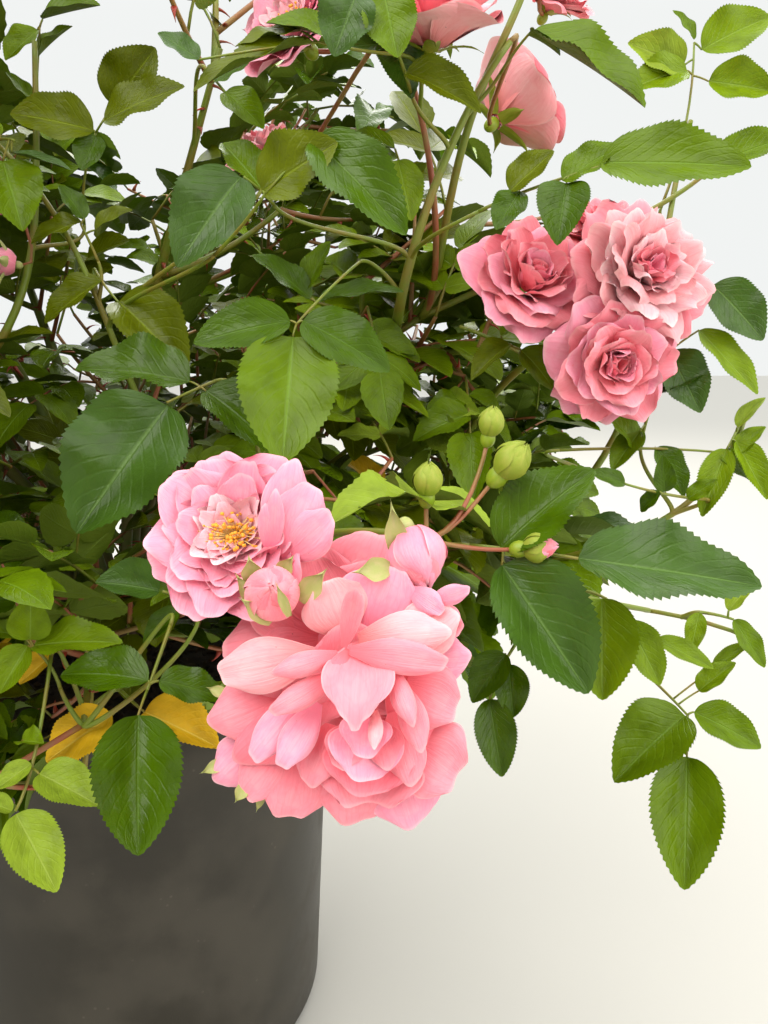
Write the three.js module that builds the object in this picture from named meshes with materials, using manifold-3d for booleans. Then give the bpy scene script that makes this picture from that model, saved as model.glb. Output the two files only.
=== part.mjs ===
// A potted rose bush, in millimetres, +Z up, with its origin at the centre of the pot's underside.
// A short woody foot stands in the compost. Arching canes rise from it, and each cane carries one mass of
// shoots, leaves, roses and buds. Every mass keeps to its own cell of the crown, clear of canes and pot.
import * as THREE from 'three';
import { mergeVertices } from 'three/addons/utils/BufferGeometryUtils.js';
import Module from 'manifold-3d';

const wasm = await Module();
wasm.setup();

// Driving dimensions
const GAP = 0.3; // between pieces that touch
const POT = {
  topRadius: 115, baseRadius: 104, height: 215, wall: 2.4, floor: 3, sides: 32,
  footChamfer: 4, rimHeight: 13, rimStep: 2.2, rimLip: 1.2,
  drainRadius: 6, drainRing: 72, drains: 6, drainSides: 8,
};
const SOIL = { level: 192, plateau: 30, edgeDrop: 5 };
const FOOT = {
  height: 46, lean: 5, sides: 10, steps: 8,
  flareRadius: 18, neckRadius: 10.5, knuckleRadius: 12.5, topRadius: 7,
};
const CANE = { baseRadius: 3, tipRadius: 2.4, sides: 5, steps: 6, leave: 0.45, arrive: 0.3 };
const STEM = {
  baseRadius: 2.3, tipRadius: 1.4, steps: 4, leavesAt: [0.4, 0.7, 1], flowersAt: 0.7, centreAt: 0.7,
};
const SHOOT = {
  count: 8, baseRadius: 1.9, tipRadius: 1.5, steps: 2, shortest: 48, longest: 88, firstAt: 0.1, lastAt: 0.94,
  leavesAt: [0.5, 1], leavesBelowRose: [0.55],
};
const PEDICEL = { baseRadius: 1.4, tipRadius: 1.1, steps: 3 };
const LEAF = { thickness: 2, rootHeight: 1, twist: 0.5, smallest: 1, largest: 1.3 };
// Half of a compound leaf's outline, from its root to its tip: how far forward, how far out and how high.
const LEAF_CENTRE = [19, 0, 0];
const LEAF_OUTLINE = [
  [0, 0.7, 0], [16.5, 1.5, 0], [17.5, 18, -1], [33, 33, -7], [36, 14, -1], [24, 3.2, 0], [50, 14, 0],
];
const LEAF_TIP = [75, 0, -9];
const ROSE = { lobes: 5, depth: 0.62, petalNotch: 0.86, radius: 23, root: 5 };
const BUD = { radius: 4.6, length: 13, sides: 5 };
const CROWN = { radius: 296, top: 548, low: 168, centreHeight: 372, potClear: 4 };
const GOLDEN_ANGLE = 2.39996;
const LEAF_SWINGS = [0, 1.2, -1.2, 2.4, -2.4]; // tried in turn round the shoot until a leaf has room

// The canes stand in four tiers. Each tier has so many, evenly round from its first azimuth in degrees.
// A cane ends at caneReach and caneHeight, and its mass stem goes on to stemReach and stemHeight.
// It leaves the foot at the height start and startReach from its axis, rising by so many degrees.
// roses is the share of its shoots that flower.
const TIERS = [
  { name: 'low', canes: 5, azimuth: -74, caneReach: 84, caneHeight: 262, stemReach: 190, stemHeight: 250,
    rise: 34, start: 19, startReach: 2, roses: 0.1 },
  { name: 'side', canes: 5, azimuth: -53, caneReach: 90, caneHeight: 288, stemReach: 204, stemHeight: 322,
    rise: 46, start: 25, startReach: 3, roses: 0.3 },
  { name: 'upper', canes: 4, azimuth: -22, caneReach: 78, caneHeight: 326, stemReach: 192, stemHeight: 388,
    rise: 62, start: 31, startReach: 5, roses: 0.35 },
  { name: 'top', canes: 4, azimuth: -42, caneReach: 48, caneHeight: 372, stemReach: 112, stemHeight: 474,
    rise: 76, start: 40, startReach: 4, roses: 0.35 },
];
// The roses and buds that the bush shows in front, each on a stalk from its mass's stem.
const FRONT_FLOWERS = [
  { mass: 'side_1', at: [108, -213, 325], faces: [-0.12, -0.93, 0.35] },
  { mass: 'side_1', at: [131, -225, 299], faces: [0, -0.93, 0.35], radius: 26 },
  { mass: 'side_1', at: [142, -232, 277], faces: [0.15, -0.93, -0.3], radius: 25 },
  { mass: 'side_1', at: [152, -220, 320], faces: [0.15, -0.4, 0.9], bud: true },
  { mass: 'side_1', at: [171, -196, 348], faces: [0.3, -0.3, 0.9], bud: true },
  { mass: 'side_1', at: [184, -205, 318], faces: [0.9, -0.3, 0.2], bud: true },
  { mass: 'upper_1', at: [196, -112, 390], faces: [-0.35, -0.9, 0.25] },
  { mass: 'upper_1', at: [234, -116, 392], faces: [0.3, -0.9, 0.32], radius: 27 },
  { mass: 'upper_1', at: [224, -122, 361], faces: [0.1, -0.98, -0.1] },
  { mass: 'top_1', at: [158, -118, 474], faces: [-0.1, -0.6, 0.8] },
  { mass: 'top_1', at: [200, -46, 468], faces: [0.6, 0.4, 0.6] },
  { mass: 'top_1', at: [112, -96, 476], faces: [-0.5, -0.6, 0.6] },
];

const COLOURS = { pot: 0x2c2a27, soil: 0x3b2a1e, foot: 0x6b5a3a, cane: 0x6f8a3a, leaf: 0x3f7a2c };

const UP = new THREE.Vector3(0, 0, 1);
const vector = (list) => new THREE.Vector3(...list);

// Two directions square to an axis and to each other.
function crossAxes(axis) {
  const reference = Math.abs(axis.z) > 0.95 ? new THREE.Vector3(0, 1, 0) : UP;
  const side = new THREE.Vector3().crossVectors(axis, reference).normalize();
  return [side, new THREE.Vector3().crossVectors(axis, side)];
}

function radialAt(axis, turn) {
  const [side, other] = crossAxes(axis);
  return side.multiplyScalar(Math.cos(turn)).addScaledVector(other, Math.sin(turn));
}

function polar(azimuth, reach, height) {
  const angle = THREE.MathUtils.degToRad(azimuth);
  return new THREE.Vector3(reach * Math.cos(angle), reach * Math.sin(angle), height);
}

const MASSES = TIERS.flatMap((tier) => Array.from({ length: tier.canes }, (_, i) => {
  const azimuth = tier.azimuth + (360 / tier.canes) * i;
  const name = `${tier.name}_${i + 1}`;
  return {
    ...tier,
    name,
    azimuth,
    caneTip: polar(azimuth, tier.caneReach, tier.caneHeight),
    stemEnd: polar(azimuth, tier.stemReach, tier.stemHeight),
    flowers: FRONT_FLOWERS.filter((flower) => flower.mass === name),
  };
}));

// The same seeded numbers for the same bough, shoot and leaf, whatever was skipped before them.
function dice(...keys) {
  let state = keys.reduce((sum, key) => (Math.imul(sum, 31) + key + 7) >>> 0, 17);
  const next = () => {
    state = (Math.imul(state, 1664525) + 1013904223) >>> 0;
    return state / 4294967296;
  };
  next();
  next();
  return (low, high) => low + (high - low) * next();
}

// A closed geometry as a solid that can be joined and cut.
function solidOf(geometry) {
  const bare = geometry.index ? geometry.toNonIndexed() : geometry.clone();
  bare.deleteAttribute('normal');
  bare.deleteAttribute('uv');
  const merged = mergeVertices(bare, 1e-4);
  return new wasm.Manifold(new wasm.Mesh({
    numProp: 3,
    vertProperties: new Float32Array(merged.attributes.position.array),
    triVerts: new Uint32Array(merged.index.array),
  }));
}

function geometryOf(solid) {
  const mesh = solid.getMesh();
  return new THREE.BufferGeometry()
    .setAttribute('position', new THREE.BufferAttribute(new Float32Array(mesh.vertProperties), 3))
    .setIndex(new THREE.BufferAttribute(new Uint32Array(mesh.triVerts), 1));
}

function geometryFrom(points, faces) {
  return new THREE.BufferGeometry().setFromPoints(points).setIndex(faces.flat());
}

// A tube of round sections along a curve, closed by flat ends.
function limb(curve, steps, sides, radiusAt) {
  const frames = curve.computeFrenetFrames(steps, false);
  const points = [];
  const faces = [];
  for (let i = 0; i <= steps; i += 1) {
    const centre = curve.getPoint(i / steps);
    for (let j = 0; j < sides; j += 1) {
      const angle = (j / sides) * 2 * Math.PI;
      const out = frames.normals[i].clone().multiplyScalar(Math.cos(angle))
        .addScaledVector(frames.binormals[i], Math.sin(angle));
      points.push(centre.clone().addScaledVector(out, radiusAt(i / steps)));
    }
  }
  for (let i = 0; i < steps; i += 1) {
    for (let j = 0; j < sides; j += 1) {
      const a = i * sides + j;
      const b = i * sides + ((j + 1) % sides);
      faces.push([a, b, b + sides], [a, b + sides, a + sides]);
    }
  }
  for (let j = 1; j < sides - 1; j += 1) {
    faces.push([0, j + 1, j], [steps * sides, steps * sides + j, steps * sides + j + 1]);
  }
  return geometryFrom(points, faces);
}

const taper = (from, to) => (t) => from + (to - from) * t;

function arch(from, direction, to, bend = 0.5) {
  const control = from.clone().addScaledVector(direction, bend * from.distanceTo(to));
  return new THREE.QuadraticBezierCurve3(from, control, to);
}

// Pot and compost
function potRadius(height) {
  return POT.baseRadius + (POT.topRadius - POT.baseRadius) * (height / POT.height);
}

function lathe(profile) {
  const geometry = new THREE.LatheGeometry(profile.map(([r, z]) => new THREE.Vector2(r, z)), POT.sides);
  return geometry.rotateX(Math.PI / 2);
}

function potSolid() {
  const shoulder = POT.height - POT.rimHeight;
  const inner = (z) => potRadius(z) - POT.wall;
  const shell = solidOf(lathe([
    [0, 0],
    [POT.baseRadius - POT.footChamfer, 0],
    [potRadius(POT.footChamfer), POT.footChamfer],
    [potRadius(shoulder), shoulder],
    [potRadius(shoulder) + POT.rimStep, shoulder + POT.rimStep],
    [potRadius(POT.height) + POT.rimStep, POT.height - POT.rimLip],
    [potRadius(POT.height) + POT.rimStep - POT.rimLip, POT.height],
    [inner(POT.height) + POT.rimLip, POT.height],
    [inner(POT.height), POT.height - POT.rimLip],
    [inner(POT.floor), POT.floor],
    [0, POT.floor],
  ]));
  const drains = Array.from({ length: POT.drains }, (_, i) => {
    const angle = (i / POT.drains) * 2 * Math.PI;
    const drill = new THREE.CylinderGeometry(POT.drainRadius, POT.drainRadius, POT.floor * 4, POT.drainSides);
    drill.rotateX(Math.PI / 2).translate(POT.drainRing * Math.cos(angle), POT.drainRing * Math.sin(angle), 0);
    return solidOf(drill);
  });
  return drains.reduce((left, drain) => left.subtract(drain), shell);
}

function soilSolid() {
  const inner = (z) => potRadius(z) - POT.wall - GAP;
  const edge = SOIL.level - SOIL.edgeDrop;
  return solidOf(lathe([
    [0, POT.floor + GAP],
    [inner(POT.floor + GAP), POT.floor + GAP],
    [inner(edge), edge],
    [SOIL.plateau, SOIL.level],
    [0, SOIL.level],
  ]));
}

// The filled pot grown a little, which leaves and shoots stay out of.
function potKeepOut() {
  const grown = POT.rimStep + CROWN.potClear;
  return solidOf(lathe([
    [0, 0],
    [POT.baseRadius + grown, 0],
    [POT.topRadius + grown, POT.height],
    [POT.topRadius - POT.wall, POT.height + CROWN.potClear],
    [0, SOIL.level + CROWN.potClear],
  ]));
}

// Foot and canes
function footAxis() {
  const base = new THREE.Vector3(0, 0, SOIL.level + GAP);
  return new THREE.QuadraticBezierCurve3(
    base,
    base.clone().addScaledVector(UP, FOOT.height * 0.5),
    base.clone().add(new THREE.Vector3(FOOT.lean, 0, FOOT.height)),
  );
}

function footRadius(t) {
  const flare = (FOOT.flareRadius - FOOT.neckRadius) * Math.exp(-t * 9);
  const knuckle = (FOOT.knuckleRadius - FOOT.neckRadius) * Math.exp(-(((t - 0.68) / 0.16) ** 2));
  const shoulder = (FOOT.neckRadius - FOOT.topRadius) * Math.max(0, (t - 0.8) / 0.2) ** 2;
  return FOOT.neckRadius + flare + knuckle - shoulder;
}

function footSolid(grown = 0) {
  return solidOf(limb(footAxis(), FOOT.steps, FOOT.sides, (t) => footRadius(t) + grown));
}

function stemDirection(mass) {
  return mass.stemEnd.clone().sub(mass.caneTip).normalize();
}

function caneCurve(mass) {
  const start = footAxis().getPoint(mass.start / FOOT.height).add(polar(mass.azimuth, mass.startReach, 0));
  const rise = THREE.MathUtils.degToRad(mass.rise);
  const leave = polar(mass.azimuth, Math.cos(rise), Math.sin(rise));
  const span = start.distanceTo(mass.caneTip);
  return new THREE.CubicBezierCurve3(
    start,
    start.clone().addScaledVector(leave, span * CANE.leave),
    mass.caneTip.clone().addScaledVector(stemDirection(mass), -span * CANE.arrive),
    mass.caneTip,
  );
}

function caneSolid(mass, grown = 0) {
  const radius = taper(CANE.baseRadius + grown, CANE.tipRadius + grown);
  return solidOf(limb(caneCurve(mass), CANE.steps, CANE.sides, radius));
}

function stemCurve(mass) {
  const along = stemDirection(mass);
  return arch(mass.caneTip.clone().addScaledVector(along, GAP), along, mass.stemEnd);
}

// Leaves
// The way a leaf leaves its shoot and the way its upper face looks.
function leafPose(axis, turn, roll) {
  const radial = radialAt(axis, turn);
  const along = axis.clone().multiplyScalar(0.5).addScaledVector(radial, 0.85).addScaledVector(UP, 0.12);
  along.normalize();
  const face = UP.clone().addScaledVector(radial, roll);
  face.addScaledVector(along, -face.dot(along));
  if (face.length() < 0.15) face.copy(radial).addScaledVector(along, -radial.dot(along));
  return { along, face: face.normalize() };
}

// A compound leaf as one closed body: a stalk and three leaflets, each folded along its midrib.
function compoundLeaf(root, pose, scale) {
  const { along, face } = pose;
  const across = new THREE.Vector3().crossVectors(along, face).normalize();
  const at = ([forward, sideways, lift]) => root.clone().addScaledVector(along, forward * scale)
    .addScaledVector(across, sideways * scale).addScaledVector(face, lift * scale);
  const half = LEAF.thickness / 2;
  const right = LEAF_OUTLINE.map(at);
  const left = LEAF_OUTLINE.map(([forward, sideways, lift]) => at([forward, -sideways, lift])).reverse();
  const outline = [...right, at(LEAF_TIP), ...left];
  const last = outline.length - 1;
  const [x, y, z] = LEAF_CENTRE;
  const points = [...outline, at([0, 0, LEAF.rootHeight]), at([x, y, z + half]), at([x, y, z - half])];
  const [rootTop, top, bottom] = [last + 1, last + 2, last + 3];
  const faces = [[last, 0, rootTop], [top, last, rootTop], [top, rootTop, 0], [bottom, 0, last]];
  for (let i = 0; i < last; i += 1) faces.push([top, i, i + 1], [bottom, i + 1, i]);
  return solidOf(geometryFrom(points, faces));
}

// Roses and buds
// Rings of points round an axis, closed to a point at each end.
function turnedShape(centre, axis, rings, low, high) {
  const count = rings[0].radii.length;
  const points = rings.flatMap(({ height, radii }) => radii.map((radius, j) => {
    const angle = (j / count) * 2 * Math.PI;
    return centre.clone().addScaledVector(axis, height).addScaledVector(radialAt(axis, angle), radius);
  }));
  const faces = [];
  for (let i = 0; i < rings.length - 1; i += 1) {
    for (let j = 0; j < count; j += 1) {
      const a = i * count + j;
      const b = i * count + ((j + 1) % count);
      faces.push([a, b, b + count], [a, b + count, a + count]);
    }
  }
  const bottom = points.push(centre.clone().addScaledVector(axis, low)) - 1;
  const top = points.push(centre.clone().addScaledVector(axis, high)) - 1;
  const last = (rings.length - 1) * count;
  for (let j = 0; j < count; j += 1) {
    faces.push([bottom, (j + 1) % count, j], [top, last + j, last + ((j + 1) % count)]);
  }
  return geometryFrom(points, faces);
}

// A double rose: a scalloped outer ring of petals, a raised inner ring and a hollow heart.
function rose(centre, axis, radius) {
  const ring = (reach, notch, shift) => Array.from({ length: ROSE.lobes * 2 }, (_, j) => (
    radius * reach * ((j + shift) % 2 ? notch : 1)));
  return turnedShape(centre, axis, [
    { height: -radius * 0.3, radii: ring(0.3, 1, 0) },
    { height: 0, radii: ring(1, ROSE.petalNotch, 0) },
    { height: radius * 0.3, radii: ring(0.72, ROSE.petalNotch, 1) },
    { height: radius * 0.2, radii: ring(0.26, 1, 0) },
  ], -radius * ROSE.depth, radius * 0.14);
}

function bud(centre, axis, radius) {
  const ring = (share) => Array(BUD.sides).fill(radius * share);
  return turnedShape(centre, axis, [
    { height: -BUD.length * 0.2, radii: ring(1) },
    { height: BUD.length * 0.2, radii: ring(0.85) },
  ], -BUD.length * 0.55, BUD.length * 0.55);
}

// A stalk from a point on a curve, and the rose or bud at its end, which looks along faces.
function flowerOnStalk(curve, share, flower, grown = 0) {
  const centre = vector(flower.at);
  const axis = vector(flower.faces).normalize();
  const radius = flower.radius ?? (flower.bud ? BUD.radius : ROSE.radius);
  const from = curve.getPoint(share);
  const sink = flower.bud ? -BUD.length * 0.3 : ROSE.root - radius * ROSE.depth;
  const root = centre.clone().addScaledVector(axis, sink);
  const span = from.distanceTo(root);
  const stalk = new THREE.CubicBezierCurve3(
    from,
    from.clone().addScaledVector(curve.getTangent(share), span * 0.4),
    root.clone().addScaledVector(axis, -span * 0.35),
    root,
  );
  const thickness = taper(PEDICEL.baseRadius + grown, PEDICEL.tipRadius + grown);
  const makeHead = flower.bud ? bud : rose;
  return {
    stalk: solidOf(limb(stalk, PEDICEL.steps, 3, thickness)),
    head: solidOf(makeHead(centre, axis, radius + grown)),
  };
}

// Masses
// What a mass holds before its shoots grow: its stem, and the stalks and heads of its front flowers.
function massFrame(mass, grown = 0) {
  const curve = stemCurve(mass);
  const stem = solidOf(limb(curve, STEM.steps, 3, taper(STEM.baseRadius + grown, STEM.tipRadius + grown)));
  const flowers = mass.flowers.map((flower) => flowerOnStalk(curve, STEM.flowersAt, flower, grown));
  return { stem, stalks: flowers.map(({ stalk }) => stalk), heads: flowers.map(({ head }) => head) };
}

function massCentre(mass) {
  return mass.caneTip.clone().lerp(mass.stemEnd, STEM.centreAt);
}

// True if a solid lies nearer its own mass centre than any other, and within the outline of the crown.
function inCell(solid, mass) {
  const centre = massCentre(mass);
  const others = MASSES.filter((other) => other !== mass).map(massCentre);
  const { vertProperties, numVert, numProp } = solid.getMesh();
  return Array.from({ length: numVert }, (_, i) => new THREE.Vector3().fromArray(vertProperties, i * numProp))
    .every((point) => {
      const rise = point.z - CROWN.centreHeight;
      const half = rise > 0 ? CROWN.top - CROWN.centreHeight : CROWN.centreHeight - CROWN.low;
      const outline = (Math.hypot(point.x, point.y) / CROWN.radius) ** 2 + Math.abs(rise / half) ** 3;
      const reach = point.distanceTo(centre) + 2 * GAP;
      return outline < 1 && others.every((other) => point.distanceTo(other) > reach);
    });
}

function shootCurve(stem, index, start, roll) {
  const share = SHOOT.firstAt + ((SHOOT.lastAt - SHOOT.firstAt) * index) / (SHOOT.count - 1);
  const from = stem.getPoint(share);
  const axis = stem.getTangent(share);
  const radial = radialAt(axis, start + index * GOLDEN_ANGLE + roll(-0.3, 0.3));
  const leave = axis.clone().multiplyScalar(0.6).addScaledVector(radial, 0.8).normalize();
  const length = roll(SHOOT.shortest, SHOOT.longest);
  const to = from.clone().addScaledVector(leave, length * 0.85).addScaledVector(UP, length * roll(0.05, 0.4));
  return arch(from, leave, to);
}

function roseOnShoot(curve) {
  const axis = curve.getTangent(1).lerp(UP, 0.3).normalize();
  const at = curve.getPoint(1).addScaledVector(axis, ROSE.radius * 0.8);
  return flowerOnStalk(curve, 0.9, { at: at.toArray(), faces: axis.toArray() });
}

// The shoots that have room, each with its solid, its rose if it flowers, and the places of its leaves.
function growShoots(mass, number, stem, start, fits) {
  return Array.from({ length: SHOOT.count }, (_, index) => {
    const roll = dice(number, index);
    const curve = shootCurve(stem, index, start, roll);
    const solid = solidOf(limb(curve, SHOOT.steps, 3, taper(SHOOT.baseRadius, SHOOT.tipRadius)));
    const turn = roll(0, 2 * Math.PI);
    const blooms = !mass.flowers.length && roll(0, 1) < mass.roses;
    const grown = blooms ? roseOnShoot(curve) : null;
    const rose = grown && fits(grown.head) ? grown : null;
    const leavesAt = blooms ? SHOOT.leavesBelowRose : SHOOT.leavesAt;
    return { number: index, curve, solid: rose ? solid.add(rose.stalk) : solid, rose, turn, leavesAt };
  }).filter(({ solid }) => fits(solid));
}

// The leaf at a place on a twig, swung round the twig until it has room, or null where it never has.
function leafWithRoom(curve, share, turn, roll, hasRoom) {
  const lean = roll(-LEAF.twist, LEAF.twist);
  const scale = roll(LEAF.smallest, LEAF.largest);
  for (const swing of LEAF_SWINGS) {
    const pose = leafPose(curve.getTangent(share), turn + swing, lean);
    const leaf = compoundLeaf(curve.getPoint(share), pose, scale);
    if (hasRoom(leaf)) return leaf;
  }
  return null;
}

function massSolid(mass, number, frame, keepOut) {
  const start = dice(number)(0, 2 * Math.PI);
  const curve = stemCurve(mass);
  const fits = (solid) => inCell(solid, mass) && solid.intersect(keepOut).isEmpty();
  const stem = { number: SHOOT.count, curve, solid: frame.stem, turn: start + 1, leavesAt: STEM.leavesAt };
  const twigs = [stem, ...growShoots(mass, number, curve, start, fits)];
  const heads = [...frame.heads, ...twigs.filter(({ rose }) => rose).map(({ rose }) => rose.head)];
  const leaves = [];
  for (const twig of twigs) {
    const limbs = twigs.filter((other) => other !== twig).map(({ solid }) => solid);
    const hasRoom = (leaf) => fits(leaf)
      && [...limbs, ...frame.stalks, ...heads, ...leaves].every((other) => leaf.intersect(other).isEmpty());
    const grown = twig.leavesAt.map((share, k) => {
      const roll = dice(number, twig.number, k);
      const leaf = leafWithRoom(twig.curve, share, twig.turn + k * GOLDEN_ANGLE, roll, hasRoom);
      if (leaf) leaves.push(leaf);
      return leaf;
    });
    twig.isBare = twig !== stem && !twig.rose && !grown.some(Boolean);
  }
  const wood = twigs.filter(({ isBare }) => !isBare).map(({ solid }) => solid);
  // The largest body is kept, so a loose scrap is left out.
  const bodies = wasm.Manifold.union([...wood, ...frame.stalks, ...heads, ...leaves]).decompose();
  return bodies.reduce((best, body) => (body.volume() > best.volume() ? body : best));
}

// Assembly
const bush = new THREE.Group();

function add(name, solid, colour, roughness) {
  const material = new THREE.MeshStandardMaterial({ color: colour, roughness, metalness: 0 });
  const mesh = new THREE.Mesh(geometryOf(solid), material);
  mesh.name = name;
  bush.add(mesh);
}

const footGrown = footSolid(GAP);
const limbsGrown = [footGrown, potKeepOut(), ...MASSES.map((mass) => caneSolid(mass, GAP))];

add('pot', potSolid(), COLOURS.pot, 0.6);
add('compost', soilSolid(), COLOURS.soil, 1);
add('woody_foot', footSolid(), COLOURS.foot, 0.9);
for (const mass of MASSES) add(`cane_${mass.name}`, caneSolid(mass).subtract(footGrown), COLOURS.cane, 0.6);
MASSES.forEach((mass, number) => {
  const otherFrames = MASSES.filter((other) => other !== mass).map((other) => massFrame(other, GAP))
    .flatMap(({ stem, stalks, heads }) => [stem, ...stalks, ...heads]);
  const keepOut = wasm.Manifold.union([...limbsGrown, ...otherFrames]);
  add(`foliage_${mass.name}`, massSolid(mass, number, massFrame(mass), keepOut), COLOURS.leaf, 0.45);
});

export default bush;
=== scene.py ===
"""A potted rose bush: spun pot, crumbly compost, barked foot and canes, finely divided leaves, double roses
and buds. Growth is worked out in millimetres by the same seeded rule as the solids, then scaled to metres."""

import math

import bmesh
import bpy
import numpy as np
from bpy.props import FloatProperty, FloatVectorProperty, IntProperty, PointerProperty
from mathutils import Matrix, Vector, noise


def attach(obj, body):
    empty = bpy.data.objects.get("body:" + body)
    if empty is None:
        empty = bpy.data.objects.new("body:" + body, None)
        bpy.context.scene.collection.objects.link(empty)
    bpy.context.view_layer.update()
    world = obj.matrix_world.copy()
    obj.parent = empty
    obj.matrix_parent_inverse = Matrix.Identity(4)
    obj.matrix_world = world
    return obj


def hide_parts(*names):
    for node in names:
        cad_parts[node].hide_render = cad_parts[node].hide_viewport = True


bl_info = {
    "name": "Potted Rose Bush",
    "version": (1, 0, 0),
    "blender": (4, 5, 0),
    "location": "View3D > Sidebar > Rose Bush",
    "description": "Builds a rose bush in its pot around its packed solids",
    "category": "Add Mesh",
}

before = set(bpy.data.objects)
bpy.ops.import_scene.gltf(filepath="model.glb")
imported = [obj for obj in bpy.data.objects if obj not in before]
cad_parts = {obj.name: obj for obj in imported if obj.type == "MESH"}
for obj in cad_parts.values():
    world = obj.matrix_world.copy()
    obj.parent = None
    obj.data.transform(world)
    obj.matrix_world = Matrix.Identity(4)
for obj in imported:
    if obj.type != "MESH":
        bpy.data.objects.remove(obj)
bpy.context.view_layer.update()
MM = 0.001
GOLDEN_ANGLE = 2.39996
UP = np.array([0.0, 0.0, 1.0])

# The same named sizes as the solids, in millimetres.
GAP = 0.3
POT = {
    "top": 115, "base": 104, "height": 215, "floor": 3, "wall": 2.4, "mouth": 112,
    "band": 13, "band_out": 2.2, "drain": 6, "drain_ring": 72, "drains": 6,
}
SOIL = {"level": 192, "plateau": 30, "edge": 187, "fall": 80}
FOOT = {"height": 46, "lean": 5, "flare": 18, "neck": 10.5, "knuckle": 12.5, "top": 7}
SHOOTS = 8
CROWN = {"radius": 296, "top": 548, "low": 168, "centre": 372, "pot_clear": 4, "soil_clear": 8, "gap": 0.6}
# The radii of a mass's stem, its shoots and its finer twigs, each at the root and the tip.
STEM_RADII, SHOOT_RADII, TWIG_RADII = (2.3, 1.1), (1.7, 1.0), (1.15, 0.75)
ROSE_RADIUS = 23
LEAF_SWINGS = (0, 1.2, -1.2, 2.4, -2.4)

# The photo's camera: where it stands, its tip in degrees, its focal length and its middle in pixels.
VIEW_POINT = np.array([144.0, -403.0, 373.0])
VIEW_TIP = 13
FOCAL = 800
MIDDLE = (384, 512)
# An enlarged view of the front roses: the photo's pixel at its corner, and how much larger it is.
CLOSE_CORNER = (130, 430)
CLOSE_ZOOM = 3.824
# Where nothing grows: so near ahead of the camera and so far aside, and round the sight of a leaflet that
# shows, as the cosine of the angle and how far behind it.
CLEAR_AHEAD, CLEAR_SLOPE = 185, 0.62
CLEAR_COSINE, CLEAR_BEHIND = 0.9975, 6
# The material slots of leaves, petals, and stalks and sepals.
LEAF_DEEP, LEAF_MIDDLE, LEAF_BRIGHT, LEAF_GREY, LEAF_YOUNG, LEAF_YELLOW, LEAF_OLIVE = range(7)
PETAL_PINK, PETAL_SALMON, PETAL_PALE, PETAL_CREAM, PETAL_CORAL, PETAL_FADED = range(6)
STALK_GREEN, STALK_RED, CANE_SKIN, PRICKLE, SEPAL_GREEN, HIP_GREEN, SEPAL_PALE = range(7)

# name, canes, azimuth, cane reach and height, stem reach and height, rise, start, start reach, share of roses
TIERS = (
    ("low", 5, -74, 84, 262, 190, 250, 34, 19, 2, 0.1),
    ("side", 5, -53, 90, 288, 204, 322, 46, 25, 3, 0.3),
    ("upper", 4, -22, 78, 326, 192, 388, 62, 31, 5, 0.35),
    ("top", 4, -42, 48, 372, 112, 474, 76, 40, 4, 0.35),
)
# mass, centre, the way it faces, radius, kind
FRONT_FLOWERS = (
    ("side_1", (107, -213, 323.8), (-0.08, -0.84, 0.54), 22.3, "open"),
    ("side_1", (131, -223, 300), (0, -0.93, 0.35), 25, "under"),
    ("side_1", (139, -230, 281), (0.1, -0.93, -0.1), 24, "under"),
    ("side_1", (152, -218, 319), (0.3, -0.45, -0.75), 7.4, "bare_bud"),
    ("side_1", (118.4, -229, 313.8), (0.12, -0.8, 0.45), 6.2, "round_bud"),
    ("side_1", (155, -206, 336), (0.05, -0.1, 1), 3.7, "bud"),
    ("side_1", (172, -194, 349), (0.15, -0.1, 1), 3.4, "bud"),
    ("side_1", (177, -200, 340), (0.55, -0.25, 0.75), 4.6, "bud"),
    ("side_1", (184, -205, 318), (0.95, -0.25, 0.15), 3.8, "showing_bud"),
    ("upper_1", (196, -112, 390), (0.22, -0.78, 0.55), 24, "cupped"),
    ("upper_1", (234, -116, 392), (0.3, -0.9, 0.32), 27, "ruffled"),
    ("upper_1", (224, -122, 361), (0.1, -0.98, -0.1), 23, "cupped"),
    ("upper_1", (226, -86, 410), (-0.1, -0.35, 0.9), 21, "loose"),
    ("top_1", (160, -112, 473), (0.1, -0.3, 0.95), 26, "smooth"),
    ("top_1", (197, -46, 461), (0.66, 0.35, 0.55), 25, "smooth"),
    ("top_1", (209, -62, 497), (0.4, -0.3, 0.8), 17, "ruffled"),
    ("top_1", (112, -96, 476), (-0.5, -0.6, 0.6), 23, "open"),
    ("top_2", (94, -48, 445), (-0.3, -0.2, 0.9), 18, "ruffled"),
    ("side_5", (-2, -86, 420), (-0.8, -0.5, 0.4), 6, "pink_bud"),
    ("side_5", (1, -90, 397), (-0.9, -0.4, 0.2), 5, "pink_bud"),
)
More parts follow.
